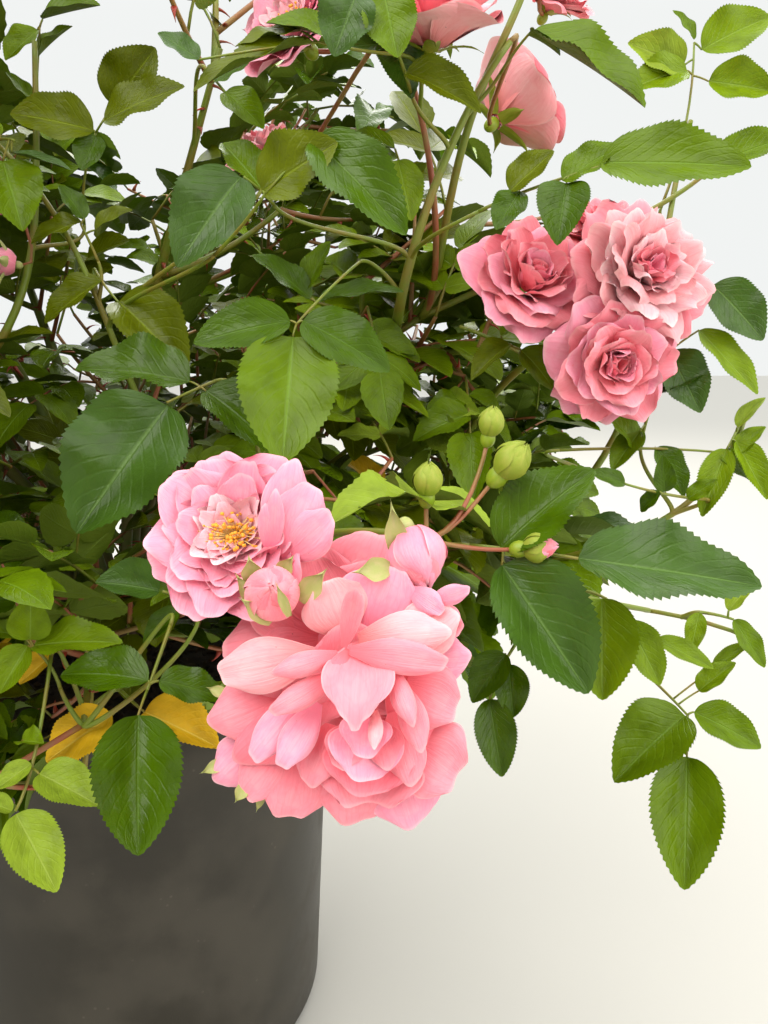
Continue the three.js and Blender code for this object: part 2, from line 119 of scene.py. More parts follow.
# Sprays that show in front, each a stalk's points and its leaflets: root, tip, width as a share of the
# length, how far its face turns to the viewer, and the slot of its colour. A point is how many pixels across
# and down it shows in the photo, and how many millimetres it stands ahead of the camera.
SHOWN_SPRAYS = (
    # trefoil
    (((360, 262, 290), (330, 285, 272), (296, 324, 256)), (
        ((289, 320, 256), (191, 336, 250), 0.52, 0.75, 0),
        ((303, 320, 256), (389, 364, 250), 0.54, 0.75, 0),
        ((292, 336, 254), (282, 457, 236), 0.66, 0.72, 1),
    )),
    # round left
    (((215, 380, 275), (190, 392, 268), (168, 404, 262)), (
        ((166, 407, 262), (72, 528, 244), 0.66, 0.8, 3),
        ((205, 392, 270), (287, 450, 262), 0.52, 0.6, 0),
        ((190, 383, 272), (75, 357, 268), 0.6, 0.5, 0),
    )),
    # yellow green left
    (((95, 270, 305), (105, 285, 300), (118, 302, 292)), (
        ((118, 302, 292), (186, 362, 284), 0.6, 0.7, 6),
        ((100, 280, 300), (40, 318, 300), 0.55, 0.5, 6),
    )),
    # grey middle
    (((275, 205, 270), (262, 190, 262), (243, 175, 256)), (
        ((241, 175, 256), (176, 258, 246), 0.62, 0.8, 3),
        ((262, 190, 262), (222, 140, 268), 0.55, 0.5, 1),
    )),
    # arching
    (((215, 255, 250), (245, 225, 235), (264, 195, 222)), (
        ((262, 191, 224), (336, 140, 215), 0.72, 0.8, 6),
        ((315, 140, 220), (407, 226, 211), 0.46, 0.8, 0),
    )),
    # upper left
    (((84, 225, 320), (78, 180, 312), (96, 133, 300)), (
        ((93, 130, 300), (9, 108, 292), 0.62, 0.8, 6),
        ((113, 106, 304), (154, 47, 296), 0.72, 1.0, 6),
        ((104, 121, 294), (178, 78, 284), 0.5, 0.65, 6),
        ((96, 136, 300), (82, 168, 296), 0.7, 0.6, 0),
    )),
    # top left tip
    (((34, 190, 325), (34, 110, 318), (40, 28, 312)), (
        ((38, 30, 312), (5, 60, 306), 0.55, 0.5, 2),
        ((42, 20, 312), (100, 2, 306), 0.5, 0.5, 1),
        ((36, 60, 314), (68, 22, 308), 0.5, 0.4, 2),
        ((35, 100, 316), (8, 70, 312), 0.4, 0.5, 1),
    )),
    # top long
    (((400, 55, 262), (360, 50, 256), (318, 42, 250)), (
        ((314, 42, 250), (186, 68, 240), 0.4, 0.35, 6),
        ((345, 46, 254), (270, 8, 250), 0.5, 0.5, 1),
        ((300, 30, 252), (235, 38, 250), 0.5, 0.4, 6),
        ((200, 58, 242), (158, 28, 240), 0.55, 0.6, 3),
    )),
    # before the top roses
    (((411, 93, 266), (397, 41, 252), (371, -7, 238)), (
        ((357, -8, 237), (333, 55, 238), 0.8, 0.8, 3),
        ((384, -7, 238), (398, 57, 237), 0.74, 0.9, 1),
        ((406, 73, 259), (482, 100, 253), 0.44, 0.7, 6),
    )),
    # small middle top
    (((430, 200, 300), (415, 210, 295), (395, 150, 290)), (
        ((395, 150, 290), (338, 138, 284), 0.55, 0.5, 1),
        ((398, 160, 290), (412, 218, 286), 0.55, 0.6, 2),
    )),
    # right top spray
    (((480, 210, 262), (520, 190, 256), (600, 166, 240)), (
        ((600, 164, 240), (750, 162, 222), 0.46, 0.75, 1),
        ((562, 182, 246), (621, 143, 240), 0.6, 0.6, 1),
        ((566, 184, 246), (557, 240, 240), 0.72, 0.8, 0),
        ((510, 190, 254), (553, 150, 250), 0.6, 0.6, 6),
        ((519, 190, 254), (497, 228, 250), 0.64, 0.7, 0),
    )),
    # right top arch
    (((500, 75, 275), (515, 50, 268), (530, 34, 262)), (
        ((530, 33, 262), (652, 94, 246), 0.36, 0.4, 1),
        ((528, 36, 262), (562, 50, 260), 0.6, 0.3, 0),
    )),
    # pale top right
    (((660, 208, 318), (694, 124, 320), (693, 42, 320)), (
        ((683, 66, 321), (630, 41, 315), 0.6, 0.9, 4),
        ((687, 71, 320), (632, 81, 313), 0.55, 0.85, 2),
        ((702, 50, 320), (773, 10, 313), 0.62, 0.9, 2),
        ((709, 81, 320), (774, 89, 314), 0.6, 0.9, 2),
        ((694, 40, 320), (677, 8, 318), 0.4, 0.4, 1),
        ((716, 165, 309), (793, 127, 299), 0.5, 0.7, 1),
    )),
    # right cluster leaf
    (((640, 440, 305), (650, 400, 300), (668, 352, 296)), (
        ((668, 352, 296), (704, 408, 288), 0.66, 0.7, 3),
        ((712, 285, 292), (766, 335, 286), 0.66, 0.7, 3),
        ((700, 330, 294), (760, 392, 288), 0.4, 0.4, 2),
        ((640, 430, 300), (612, 470, 296), 0.5, 0.4, 1),
    )),
    # big right
    (((470, 545, 215), (530, 552, 210), (580, 559, 206)), (
        ((580, 559, 206), (762, 582, 196), 0.48, 0.6, 3),
        ((502, 548, 212), (588, 462, 206), 0.56, 0.7, 0),
        ((500, 566, 211), (592, 692, 200), 0.56, 0.8, 3),
    )),
    # behind right
    (((560, 585, 228), (590, 590, 226), (605, 600, 224)), (
        ((603, 600, 224), (603, 699, 216), 0.62, 0.8, 2),
        ((628, 622, 224), (664, 684, 220), 0.5, 0.6, 2),
        ((655, 640, 226), (715, 668, 222), 0.4, 0.5, 2),
    )),
    # behind the large right leaf
    (((705, 499, 291), (667, 497, 285), (621, 483, 280)), (
        ((625, 483, 279), (591, 471, 274), 0.4, 0.9, 0),
        ((661, 493, 283), (637, 511, 290), 0.5, 0.8, 0),
        ((665, 492, 285), (663, 457, 278), 0.5, 0.8, 0),
        ((688, 499, 287), (716, 479, 282), 0.5, 0.9, 1),
    )),
    # low right
    (((628, 655, 270), (665, 690, 264), (688, 716, 258)), (
        ((684, 717, 258), (613, 778, 250), 0.62, 0.8, 1),
        ((694, 713, 258), (764, 744, 252), 0.55, 0.7, 1),
        ((687, 758, 256), (683, 888, 240), 0.5, 0.9, 1),
        ((700, 690, 262), (735, 660, 258), 0.5, 0.5, 2),
        ((715, 668, 264), (752, 640, 262), 0.3, 0.4, 2),
    )),
    # mid right stem
    (((560, 450, 300), (660, 446, 300), (735, 455, 298)), (
        ((735, 455, 298), (764, 425, 294), 0.5, 0.5, 2),
        ((720, 452, 298), (758, 480, 294), 0.5, 0.5, 1),
        ((640, 450, 300), (610, 410, 298), 0.5, 0.5, 1),
        ((655, 448, 300), (690, 495, 296), 0.5, 0.5, 0),
    )),
    # low left big
    (((172, 625, 240), (158, 660, 234), (146, 690, 226)), (
        ((139, 716, 218), (137, 857, 205), 0.58, 0.95, 0),
        ((148, 682, 228), (56, 664, 232), 0.5, 0.6, 0),
        ((158, 680, 228), (226, 692, 230), 0.55, 0.6, 0),
    )),
    # yellow low
    (((120, 690, 262), (130, 700, 258), (142, 708, 254)), (
        ((144, 711, 254), (219, 744, 248), 0.55, 0.6, 5),
        ((112, 716, 256), (44, 760, 250), 0.66, 0.7, 5),
    )),
    # light low left
    (((51, 655, 245), (37, 775, 232), (16, 812, 226)), (
        ((17, 815, 226), (58, 888, 218), 0.56, 0.9, 4),
        ((41, 775, 230), (98, 804, 224), 0.58, 0.7, 4),
        ((32, 764, 231), (-6, 788, 226), 0.6, 0.6, 4),
        ((20, 740, 236), (44, 742, 232), 0.7, 0.6, 2),
        ((14, 812, 226), (-22, 796, 222), 0.5, 0.6, 4),
    )),
    # light mid left
    (((60, 690, 250), (52, 660, 246), (32, 648, 242)), (
        ((34, 647, 242), (115, 632, 236), 0.46, 0.5, 2),
        ((30, 640, 242), (30, 597, 238), 0.8, 0.7, 2),
        ((28, 646, 242), (-4, 692, 236), 0.6, 0.7, 2),
        ((24, 636, 242), (-20, 628, 238), 0.5, 0.6, 2),
    )),
    # orange left
    (((70, 640, 262), (60, 645, 260), (52, 652, 258)), (
        ((52, 654, 258), (18, 682, 254), 0.6, 0.6, 5),
    )),
    # behind bloom
    (((190, 600, 250), (178, 595, 248), (162, 592, 246)), (
        ((160, 592, 246), (98, 578, 240), 0.7, 0.7, 3),
        ((180, 610, 250), (140, 640, 246), 0.5, 0.5, 0),
    )),
    # dark middle
    (((340, 310, 300), (330, 305, 296), (316, 302, 292)), (
        ((317, 301, 292), (402, 280, 286), 0.36, 0.4, 0),
        ((311, 299, 292), (256, 248, 288), 0.4, 0.5, 0),
        ((305, 290, 294), (330, 240, 292), 0.4, 0.5, 1),
    )),
    # below the cluster
    (((520, 640, 250), (512, 650, 248), (505, 660, 246)), (
        ((505, 655, 244), (470, 700, 240), 0.6, 0.7, 0),
        ((510, 664, 244), (515, 716, 240), 0.62, 0.8, 0),
        ((490, 700, 243), (503, 776, 236), 0.5, 0.85, 0),
    )),
    # right middle
    (((740, 420, 300), (735, 435, 298), (728, 450, 296)), (
        ((728, 450, 296), (700, 512, 290), 0.4, 0.5, 2),
        ((735, 440, 296), (768, 499, 291), 0.4, 0.5, 2),
        ((738, 428, 297), (762, 395, 294), 0.4, 0.4, 4),
    )),
    # right low young
    (((701, 612, 262), (720, 614, 260), (735, 620, 258)), (
        ((735, 620, 258), (764, 668, 254), 0.4, 0.5, 1),
        ((728, 612, 258), (752, 580, 256), 0.45, 0.5, 4),
        ((700, 614, 259), (691, 652, 256), 0.45, 0.6, 2),
    )),
    # top middle
    (((402, 60, 283), (398, 52, 278), (390, 46, 272)), (
        ((392, 44, 272), (412, 88, 262), 0.6, 0.8, 3),
        ((386, 44, 272), (338, 46, 266), 0.62, 0.7, 3),
        ((392, 38, 272), (372, 5, 268), 0.6, 0.6, 2),
    )),
    # top left pair
    (((205, 70, 270), (215, 80, 266), (225, 92, 262)), (
        ((225, 92, 262), (262, 120, 258), 0.62, 0.7, 1),
        ((214, 81, 264), (250, 62, 260), 0.6, 0.6, 0),
    )),
    # upper middle leaf
    (((262, 190, 262), (270, 175, 262), (282, 165, 260)), (
        ((282, 165, 260), (335, 165, 256), 0.5, 0.4, 6),
        ((330, 160, 262), (385, 215, 254), 0.55, 0.5, 0),
    )),
    # left edge
    (((-6, 141, 296), (4, 138, 294), (14, 140, 290)), (
        ((11, 153, 292), (71, 167, 288), 0.3, 0.3, 3),
        ((3, 161, 292), (24, 230, 286), 0.66, 0.6, 1),
        ((0, 135, 294), (-17, 111, 292), 0.5, 0.5, 2),
    )),
    # left middle
    (((98, 262, 300), (90, 240, 298), (80, 225, 296)), (
        ((80, 222, 296), (28, 238, 292), 0.5, 0.5, 6),
        ((84, 218, 296), (60, 185, 292), 0.6, 0.5, 0),
        ((95, 230, 296), (128, 206, 292), 0.55, 0.5, 6),
    )),
    # middle right dark
    (((470, 330, 300), (500, 340, 296), (520, 350, 292)), (
        ((520, 350, 292), (560, 386, 288), 0.6, 0.6, 1),
        ((510, 345, 293), (470, 372, 288), 0.5, 0.5, 6),
        ((500, 335, 294), (528, 312, 292), 0.5, 0.5, 2),
    )),
    # right cluster lower leaf
    (((640, 440, 305), (648, 410, 302), (656, 392, 300)), (
        ((656, 390, 300), (704, 372, 292), 0.62, 0.7, 3),
    )),
)
# Petals that show in front: root, tip, width, how far they bend back in degrees, hollow, rolled rim, point,
# slot. Their points and widths are in pixels of the enlarged view.
SHOWN_PETALS = (
    # back petals of the cluster
    ((840, 800, 190), (745, 590, 185), 290, 35, -0.15, 0.35, 0, 5),
    ((900, 800, 191), (985, 530, 188), 340, 30, -0.1, 0.35, 0, 0),
    ((1000, 860, 189), (1225, 690, 186), 240, 35, -0.1, 0.4, 0, 5),
    ((1040, 960, 188), (1245, 1060, 186), 270, 40, -0.05, 0.4, 0, 4),
    ((1080, 870, 190), (1285, 870, 188), 200, 30, -0.1, 0.4, 0, 0),
    ((740, 850, 188), (360, 935, 184), 240, 40, -0.3, 0.35, 0, 5),
    ((620, 1000, 190), (325, 1120, 190), 260, 45, -0.1, 0.4, 0, 4),
    ((540, 1150, 193), (340, 1330, 194), 220, 45, -0.1, 0.4, 0, 0),
    ((620, 1180, 192), (440, 1380, 190), 220, 40, -0.2, 0.3, 0, 4),
    ((660, 1230, 191), (600, 1470, 190), 290, 35, -0.1, 0.4, 0, 4),
    ((880, 1240, 192), (860, 1490, 191), 380, 45, -0.1, 0.4, 0, 4),
    ((1010, 1250, 193), (1080, 1495, 192), 290, 35, 0.1, 0.3, 0, 0),
    ((1060, 1180, 189), (1255, 1310, 187), 330, 45, 0.1, 0.3, 0, 4),
    ((700, 1000, 190), (430, 1250, 189), 260, 40, -0.1, 0.4, 0, 1),
    ((980, 900, 190), (1180, 1180, 190), 260, 40, -0.1, 0.4, 0, 1),
    # its lower heart
    ((930, 1180, 190), (915, 1430, 184), 460, 50, 0.35, 0.35, 0, 4),
    ((925, 1150, 189), (900, 1385, 180), 400, 45, 0.4, 0.3, 0, 1),
    ((910, 1110, 187), (885, 1335, 176), 330, 45, 0.45, 0.25, 0, 0),
    ((850, 1120, 186), (800, 1290, 176), 190, 40, 0.3, 0.4, 0, 4),
    ((960, 1110, 186), (990, 1290, 176), 170, 40, 0.3, 0.4, 0, 4),
    ((905, 1090, 184), (890, 1255, 173), 230, 50, 0.4, 0.25, 0, 0),
    ((770, 1110, 187), (700, 1350, 181), 190, 40, 0.1, 0.5, 0, 4),
    ((1000, 1060, 187), (1065, 1340, 180), 190, 30, 0.1, 0.5, 0, 4),
    # its folded front petals
    ((680, 980, 187), (485, 1260, 179), 170, 45, -0.35, 0.45, 0, 0),
    ((730, 1030, 185), (580, 1285, 175), 160, 40, -0.25, 0.7, 0, 0),
    ((815, 915, 182), (555, 1085, 173), 125, 30, -0.4, 0.7, 0, 4),
    ((810, 850, 180), (560, 930, 174), 115, 30, -0.4, 0.7, 0, 4),
    ((850, 800, 182), (1205, 770, 179), 210, 45, -0.3, 0.45, 0, 5),
    ((815, 840, 180), (1195, 875, 175), 160, 30, -0.3, 0.6, 0, 4),
    ((815, 850, 180), (862, 645, 171), 105, -25, -0.4, 0.5, 0, 4),
    ((880, 800, 186), (872, 1095, 170), 300, 35, 0.2, 0.3, 0.18, 4),
    ((1000, 890, 181), (1065, 1120, 171), 110, 30, -0.4, 0.7, 0, 4),
    ((940, 1060, 177), (942, 1205, 168), 65, 20, -0.3, 0.4, 0, 5),
    ((1030, 950, 184), (1125, 1205, 175), 130, 30, -0.3, 0.5, 0, 4),
    ((840, 830, 181), (760, 960, 175), 90, 30, -0.4, 0.6, 0, 1),
    ((1060, 600, 189), (1190, 690, 184), 110, 30, -0.2, 0.4, 0, 0),
    ((1130, 660, 188), (1290, 612, 184), 90, 30, -0.3, 0.5, 0, 0),
    ((1120, 690, 190), (1262, 760, 186), 150, 30, -0.2, 0.4, 0, 4),
    # standing petals of the open rose
    ((560, 500, 194), (605, 140, 194), 190, 30, 0.1, 0.3, 0, 0),
    ((570, 500, 193), (705, 225, 190), 230, 45, -0.1, 0.3, 0, 0),
    ((580, 500, 194), (772, 330, 189), 200, 50, -0.1, 0.35, 0, 0),
    ((545, 490, 192), (558, 250, 184), 90, 20, -0.3, 0.6, 0, 0),
    ((530, 480, 192), (520, 300, 185), 80, 20, -0.3, 0.6, 0, 0),
)
# Sepals that show in front, in the same way: root, tip, width.
SHOWN_SEPALS = (
    # rose cluster
    ((400, 1020, 190), (298, 985, 192), 50),
    ((400, 1250, 192), (275, 1310, 193), 55),
    ((460, 1330, 190), (405, 1420, 190), 60),
    ((520, 1360, 192), (485, 1455, 193), 35),
    # round bud
    ((475, 600, 187), (452, 478, 184), 90),
    ((560, 570, 187), (628, 478, 185), 75),
    ((640, 660, 186), (755, 528, 182), 100),
    ((500, 700, 187), (402, 548, 185), 65),
    ((550, 740, 184), (418, 640, 179), 85),
    ((612, 722, 180), (556, 578, 174.5), 45),
    # hanging bud
    ((1035, 520, 193), (998, 272, 188), 95),
    ((1005, 525, 189), (848, 545, 183), 105),
)
# Stems that show in front: points in the photo, radius in millimetres at the root and the tip, slot.
SHOWN_STEMS = (
    # top cluster
    (((398, 300, 292), (420, 190, 288), (468, 96, 284), (512, 40, 278)), 2.2, 1.1, STALK_GREEN),
    # top cluster, upper
    (((468, 96, 284), (512, 40, 278), (528, -12, 274), (540, -60, 272)), 1.6, 1.2, STALK_GREEN),
    # top cluster, left
    (((430, 150, 288), (418, 90, 286), (405, 60, 283), (402, 40, 280)), 1.2, 0.9, STALK_RED),
    # left upright
    (((40, 300, 310), (36, 200, 308), (36, 110, 306), (33, 40, 304)), 1.7, 1.1, STALK_GREEN),
    # left slanting
    (((105, 330, 305), (98, 262, 300), (45, 190, 298), (-6, 141, 296)), 1.25, 0.9, STALK_GREEN),
    # right upright
    (((640, 440, 310), (655, 330, 312), (664, 200, 316), (690, 120, 318)), 1.5, 1.0, STALK_GREEN),
    # right upright, side
    (((660, 208, 316), (686, 191, 313), (716, 165, 309)), 1.2, 0.8, STALK_GREEN),
    # right low
    (((640, 540, 300), (690, 520, 300), (730, 470, 300), (745, 420, 300)), 1.4, 0.9, STALK_GREEN),
    # right spreading
    (((502, 590, 360), (561, 605, 298), (669, 598, 258), (752, 640, 260)), 1.1, 0.7, STALK_GREEN),
    # roses of the front cluster
    (((250, 551, 275), (271, 547, 254), (294, 541, 231)), 1.8, 1.4, STALK_GREEN),
    # buds of the front cluster
    (((294, 541, 231), (346, 520, 213), (420, 538, 203)), 1.3, 1.0, STALK_GREEN),
    # roses of the right cluster
    (((480, 393, 348), (526, 365, 328), (572, 330, 307)), 1.8, 1.4, STALK_GREEN),
)
# Where the sky shows through the crown in front: two corners as slopes to the right and up, and the share of
# leaves left out.
SKY = (
    (-0.50, 0.47, -0.40, 0.70, 0.8),
    (-0.41, 0.48, -0.12, 0.70, 0.98),
    (-0.35, 0.40, -0.22, 0.50, 0.97),
    (-0.22, 0.30, -0.12, 0.42, 0.75),
    (0.17, 0.33, 0.50, 0.70, 0.97),
    (0.24, 0.20, 0.50, 0.34, 0.85),
    (0.26, 0.09, 0.50, 0.16, 0.85),
    (0.38, 0.00, 0.50, 0.09, 0.6),
    (0.34, -0.28, 0.50, -0.08, 0.7),
    (-0.50, 0.08, 0.16, 0.46, 0.35),
    (-0.38, -0.60, -0.02, -0.25, 0.98),
    (-0.22, -0.40, -0.02, -0.18, 0.99),
)


# Directions and curves
def unit(vector):
    return vector / max(np.linalg.norm(vector), 1e-9)


def square_to(axis, vector):
    """The part of a direction that stands square to an axis."""
    return vector - axis * np.dot(vector, axis)


def cross_axes(axis):
    reference = np.array([0.0, 1.0, 0.0]) if abs(axis[2]) > 0.95 else UP
    side = unit(np.cross(axis, reference))
    return side, np.cross(axis, side)


def radial_at(axis, turn):
    side, other = cross_axes(axis)
    return side * math.cos(turn) + other * math.sin(turn)


def polar(azimuth, reach, height):
    angle = math.radians(azimuth)
    return np.array([reach * math.cos(angle), reach * math.sin(angle), height])


def point_on(curve, share):
    points = [np.asarray(p, float) for p in curve]
    while len(points) > 1:
        points = [a * (1 - share) + b * share for a, b in zip(points, points[1:])]
    return points[0]


def wall_at(height):
    """How far the pot's outer wall stands from its axis at a height."""
    return POT["base"] + (POT["top"] - POT["base"]) * height / POT["height"]


def cut_at(curve, share):
    """The part of a curve up to share."""
    return tuple(point_on(curve[:count + 1], share) for count in range(len(curve)))


def tangent_on(curve, share):
    step = 0.001
    low, high = max(0.0, share - step), min(1.0, share + step)
    return unit(point_on(curve, high) - point_on(curve, low))


def arch(start, direction, end, bend=0.5):
    return (start, start + direction * bend * np.linalg.norm(end - start), end)


def dice(*keys):
    """The same seeded numbers for the same bough, shoot and leaf as in the solids."""
    state = 17
    for key in keys:
        state = (state * 31 + key + 7) % 2**32

    def share():
        nonlocal state
        state = (state * 1664525 + 1013904223) % 2**32
        return state / 2**32

    share()
    share()
    return lambda low, high: low + (high - low) * share()


def seen_at(place, digits=0):
    """The place, in millimetres, of a point of the photo that stands so far ahead of the camera."""
    across, down, ahead = place
    right, up = (across - MIDDLE[0]) / FOCAL, (MIDDLE[1] - down) / FOCAL
    cos, sin = math.cos(math.radians(VIEW_TIP)), math.sin(math.radians(VIEW_TIP))
    return np.round(VIEW_POINT + ahead * np.array([right, cos + up * sin, up * cos - sin]), digits)


def seen_close(place):
    """The same for a point of the enlarged view."""
    across, down, ahead = place
    return seen_at((CLOSE_CORNER[0] + across / CLOSE_ZOOM, CLOSE_CORNER[1] + down / CLOSE_ZOOM, ahead), 1)


def close_width(width, root, tip):
    """A width in the enlarged view as millimetres, halfway from root to tip."""
    return round(width / CLOSE_ZOOM * (root[2] + tip[2]) / 2 / FOCAL, 1)


# Small shapes, each modelled once and then laid out many times
class Shape:
    """A modelled shape: its points, its faces, and each corner's place on its own pattern."""

    def __init__(self, bm):
        bm.verts.index_update()
        uv = bm.loops.layers.uv.verify()
        self.points = np.array([v.co[:] for v in bm.verts])
        self.corners = np.array([v.index for f in bm.faces for v in f.verts])
        self.sizes = np.array([len(f.verts) for f in bm.faces])
        self.uv = np.array([loop[uv].uv[:] for f in bm.faces for loop in f.loops])
        bm.free()


class Heap:
    """Copies of shapes gathered into one piece, each copy with its own material slot."""

    def __init__(self):
        self.parts = []

    def add(self, shape, points, slot=0):
        self.parts.append((shape, points, slot))

    def piece(self, name, materials, slot_name, replaced=()):
        count = len(materials)
        starts = np.cumsum([0] + [len(points) for _, points, _ in self.parts])
        corners = np.concatenate([s.corners + start for (s, _, _), start in zip(self.parts, starts)])
        sizes = np.concatenate([s.sizes for s, _, _ in self.parts])
        uv = np.concatenate([s.uv for s, _, _ in self.parts])
        slots = np.concatenate([np.full(len(s.sizes), slot) for s, _, slot in self.parts])
        tile = np.concatenate([np.full(len(s.corners), slot) for s, _, slot in self.parts])
        mesh = bpy.data.meshes.new(name)
        mesh.vertices.add(int(starts[-1]))
        places = np.concatenate([points for _, points, _ in self.parts]) * MM
        mesh.vertices.foreach_set("co", places.astype(np.float32).ravel())
        mesh.loops.add(len(corners))
        mesh.loops.foreach_set("vertex_index", corners.astype(np.int32))
        mesh.polygons.add(len(sizes))
        begins = np.concatenate([[0], np.cumsum(sizes)[:-1]])
        mesh.polygons.foreach_set("loop_start", begins.astype(np.int32))
        for material in materials:
            mesh.materials.append(material)
        mesh.polygons.foreach_set("material_index", slots.astype(np.int32))
        mesh.update(calc_edges=True)
        mesh.polygons.foreach_set("use_smooth", np.ones(len(sizes), dtype=bool))
        pattern = mesh.uv_layers.new(name="pattern")
        pattern.data.foreach_set("uv", uv.astype(np.float32).ravel())
        bake = mesh.uv_layers.new(name="OFBake")
        tiled = np.column_stack([(tile + 0.02 + 0.96 * uv[:, 0]) / count, 0.02 + 0.96 * uv[:, 1]])
        bake.data.foreach_set("uv", tiled.astype(np.float32).ravel())
        mesh.validate()
        return show(name, mesh, replaced)


def in_scene(name, content):
    item = bpy.data.objects.new(name, content)
    bpy.context.scene.collection.objects.link(item)
    return item


def show(name, mesh, replaced=()):
    """Puts a finished piece into the scene under the body that carries it, and hides the parts that it stands
    for.
    """
    piece = in_scene(name, mesh)
    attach(piece, "root")
    if replaced:
        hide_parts(*replaced)
    return piece


def mesh_of(name, bm):
    mesh = bpy.data.meshes.new(name)
    bm.to_mesh(mesh)
    bm.free()
    return mesh


def spun(profile, steps):
    """A profile of reach and height in millimetres, spun round the pot's axis and closed."""
    bm = bmesh.new()
    rings = [bm.verts.new((reach * MM, 0, height * MM)) for reach, height in profile]
    edges = [bm.edges.new(pair) for pair in zip(rings, rings[1:])]
    bmesh.ops.spin(bm, geom=rings + edges, cent=(0, 0, 0), axis=(0, 0, 1), angle=math.tau, steps=steps,
                   use_merge=True)
    bmesh.ops.remove_doubles(bm, verts=bm.verts, dist=1e-6)
    bmesh.ops.recalc_face_normals(bm, faces=bm.faces)
    return bm


def patterned(bm, place):
    """The shape of a bmesh, each corner's place on the pattern worked out from where it stands."""
    uv = bm.loops.layers.uv.verify()
    for face in bm.faces:
        for loop in face.loops:
            loop[uv].uv = place(loop.vert.co)
    return Shape(bm)


def sheet_shape(along, across, toothed=False):
    """A flat grid, its U from root to tip, its V across. A toothed one has a corner between its stations."""
    bm = bmesh.new()
    bmesh.ops.create_grid(bm, x_segments=along, y_segments=across, size=0.5)
    if toothed:
        sides = [e for e in bm.edges if e.is_boundary and all(abs(v.co.y) > 0.49 for v in e.verts)]
        bmesh.ops.subdivide_edges(bm, edges=sides, cuts=1)
    bmesh.ops.translate(bm, verts=bm.verts, vec=(0.5, 0.5, 0))
    return patterned(bm, lambda at: at.xy)


def tube_shape(steps, sides):
    """A round tube one unit long and wide, closed at both ends, with its U round it and its V along it."""
    bm = bmesh.new()
    bmesh.ops.create_circle(bm, cap_ends=True, segments=sides, radius=1)
    edges = bm.edges[:]
    for _ in range(steps):
        grown = bmesh.ops.extrude_edge_only(bm, edges=edges)["geom"]
        edges = [item for item in grown if isinstance(item, bmesh.types.BMEdge)
                 and all(v in grown for v in item.verts)]
        verts = [item for item in grown if isinstance(item, bmesh.types.BMVert)]
        bmesh.ops.translate(bm, verts=verts, vec=(0, 0, 1 / steps))
        edges = [e for e in edges if abs(e.verts[0].co.z - e.verts[1].co.z) < 1e-6]
    bmesh.ops.holes_fill(bm, edges=[e for e in bm.edges if e.is_boundary])
    bmesh.ops.recalc_face_normals(bm, faces=bm.faces)
    uv = bm.loops.layers.uv.verify()
    for face in bm.faces:
        turns = [math.atan2(loop.vert.co.y, loop.vert.co.x) / math.tau % 1 for loop in face.loops]
        wraps = max(turns) - min(turns) > 0.5 and len(face.verts) == 4
        for loop, turn in zip(face.loops, turns):
            loop[uv].uv = (1.0 if wraps and turn < 0.25 else turn, loop.vert.co.z)
    return Shape(bm)


def ball_shape(rings, sides):
    bm = bmesh.new()
    bmesh.ops.create_uvsphere(bm, u_segments=sides, v_segments=rings, radius=1)
    return patterned(bm, lambda at: (math.atan2(at.y, at.x) / math.tau % 1, at.z / 2 + 0.5))


def crumb_shape():
    bm = bmesh.new()
    bmesh.ops.create_icosphere(bm, subdivisions=1, radius=1)
    roll = dice(71)
    for vert in bm.verts:
        vert.co *= roll(0.6, 1.25)
    return patterned(bm, lambda at: (at.x * 0.4 + 0.5, at.y * 0.4 + 0.5))


def bent_tube(shape, curve, radius_at, squash=1.0):
    """The tube laid along a curve, its width from radius_at."""
    levels = np.round(shape.points[:, 2], 6)
    placed = np.empty_like(shape.points)
    side = None
    for share in np.unique(levels):
        centre = point_on(curve, share)
        axis = tangent_on(curve, share)
        side = cross_axes(axis)[0] if side is None else unit(square_to(axis, side))
        other = np.cross(axis, side)
        ring = levels == share
        flat = shape.points[ring]
        placed[ring] = centre + radius_at(share) * (
            np.outer(flat[:, 0], side) + np.outer(flat[:, 1] * squash, other))
    return placed


def taper(start, end):
    return lambda share: start + (end - start) * share


def in_frame(points, origin, forward, face):
    """Points given as forward, across and up, placed at origin with those directions."""
    return origin + points @ np.array([forward, np.cross(face, forward), face])


def leaflet_form(sheet, width, fold, curl, wave, teeth, phase):
    """A leaflet one unit long: oval, pointed, folded along its midrib, toothed at its margin."""
    u, v = sheet.points[:, 0], sheet.points[:, 1] * 2 - 1
    safe = np.clip(u, 0, 1)
    half = width / 2 * (safe / 0.42) ** 0.55 * ((1 - safe) / 0.58) ** 0.8
    edge = np.abs(v) > 0.99
    station = np.round(u * 2 * (len(np.unique(np.round(u[edge], 4))) - 1) / 2).astype(int)
    tooth = edge * (station % 2) * teeth * np.clip(1.2 - safe, 0, 1) * (safe > 0.08)
    out = v * half + np.sign(v) * tooth
    along = u + tooth * 0.9
    lift = fold * np.abs(v) * half * 2 - curl * u**2 + wave * np.abs(v) * half * np.sin(u * 13 + phase + v)
    return np.column_stack([along, out, lift])


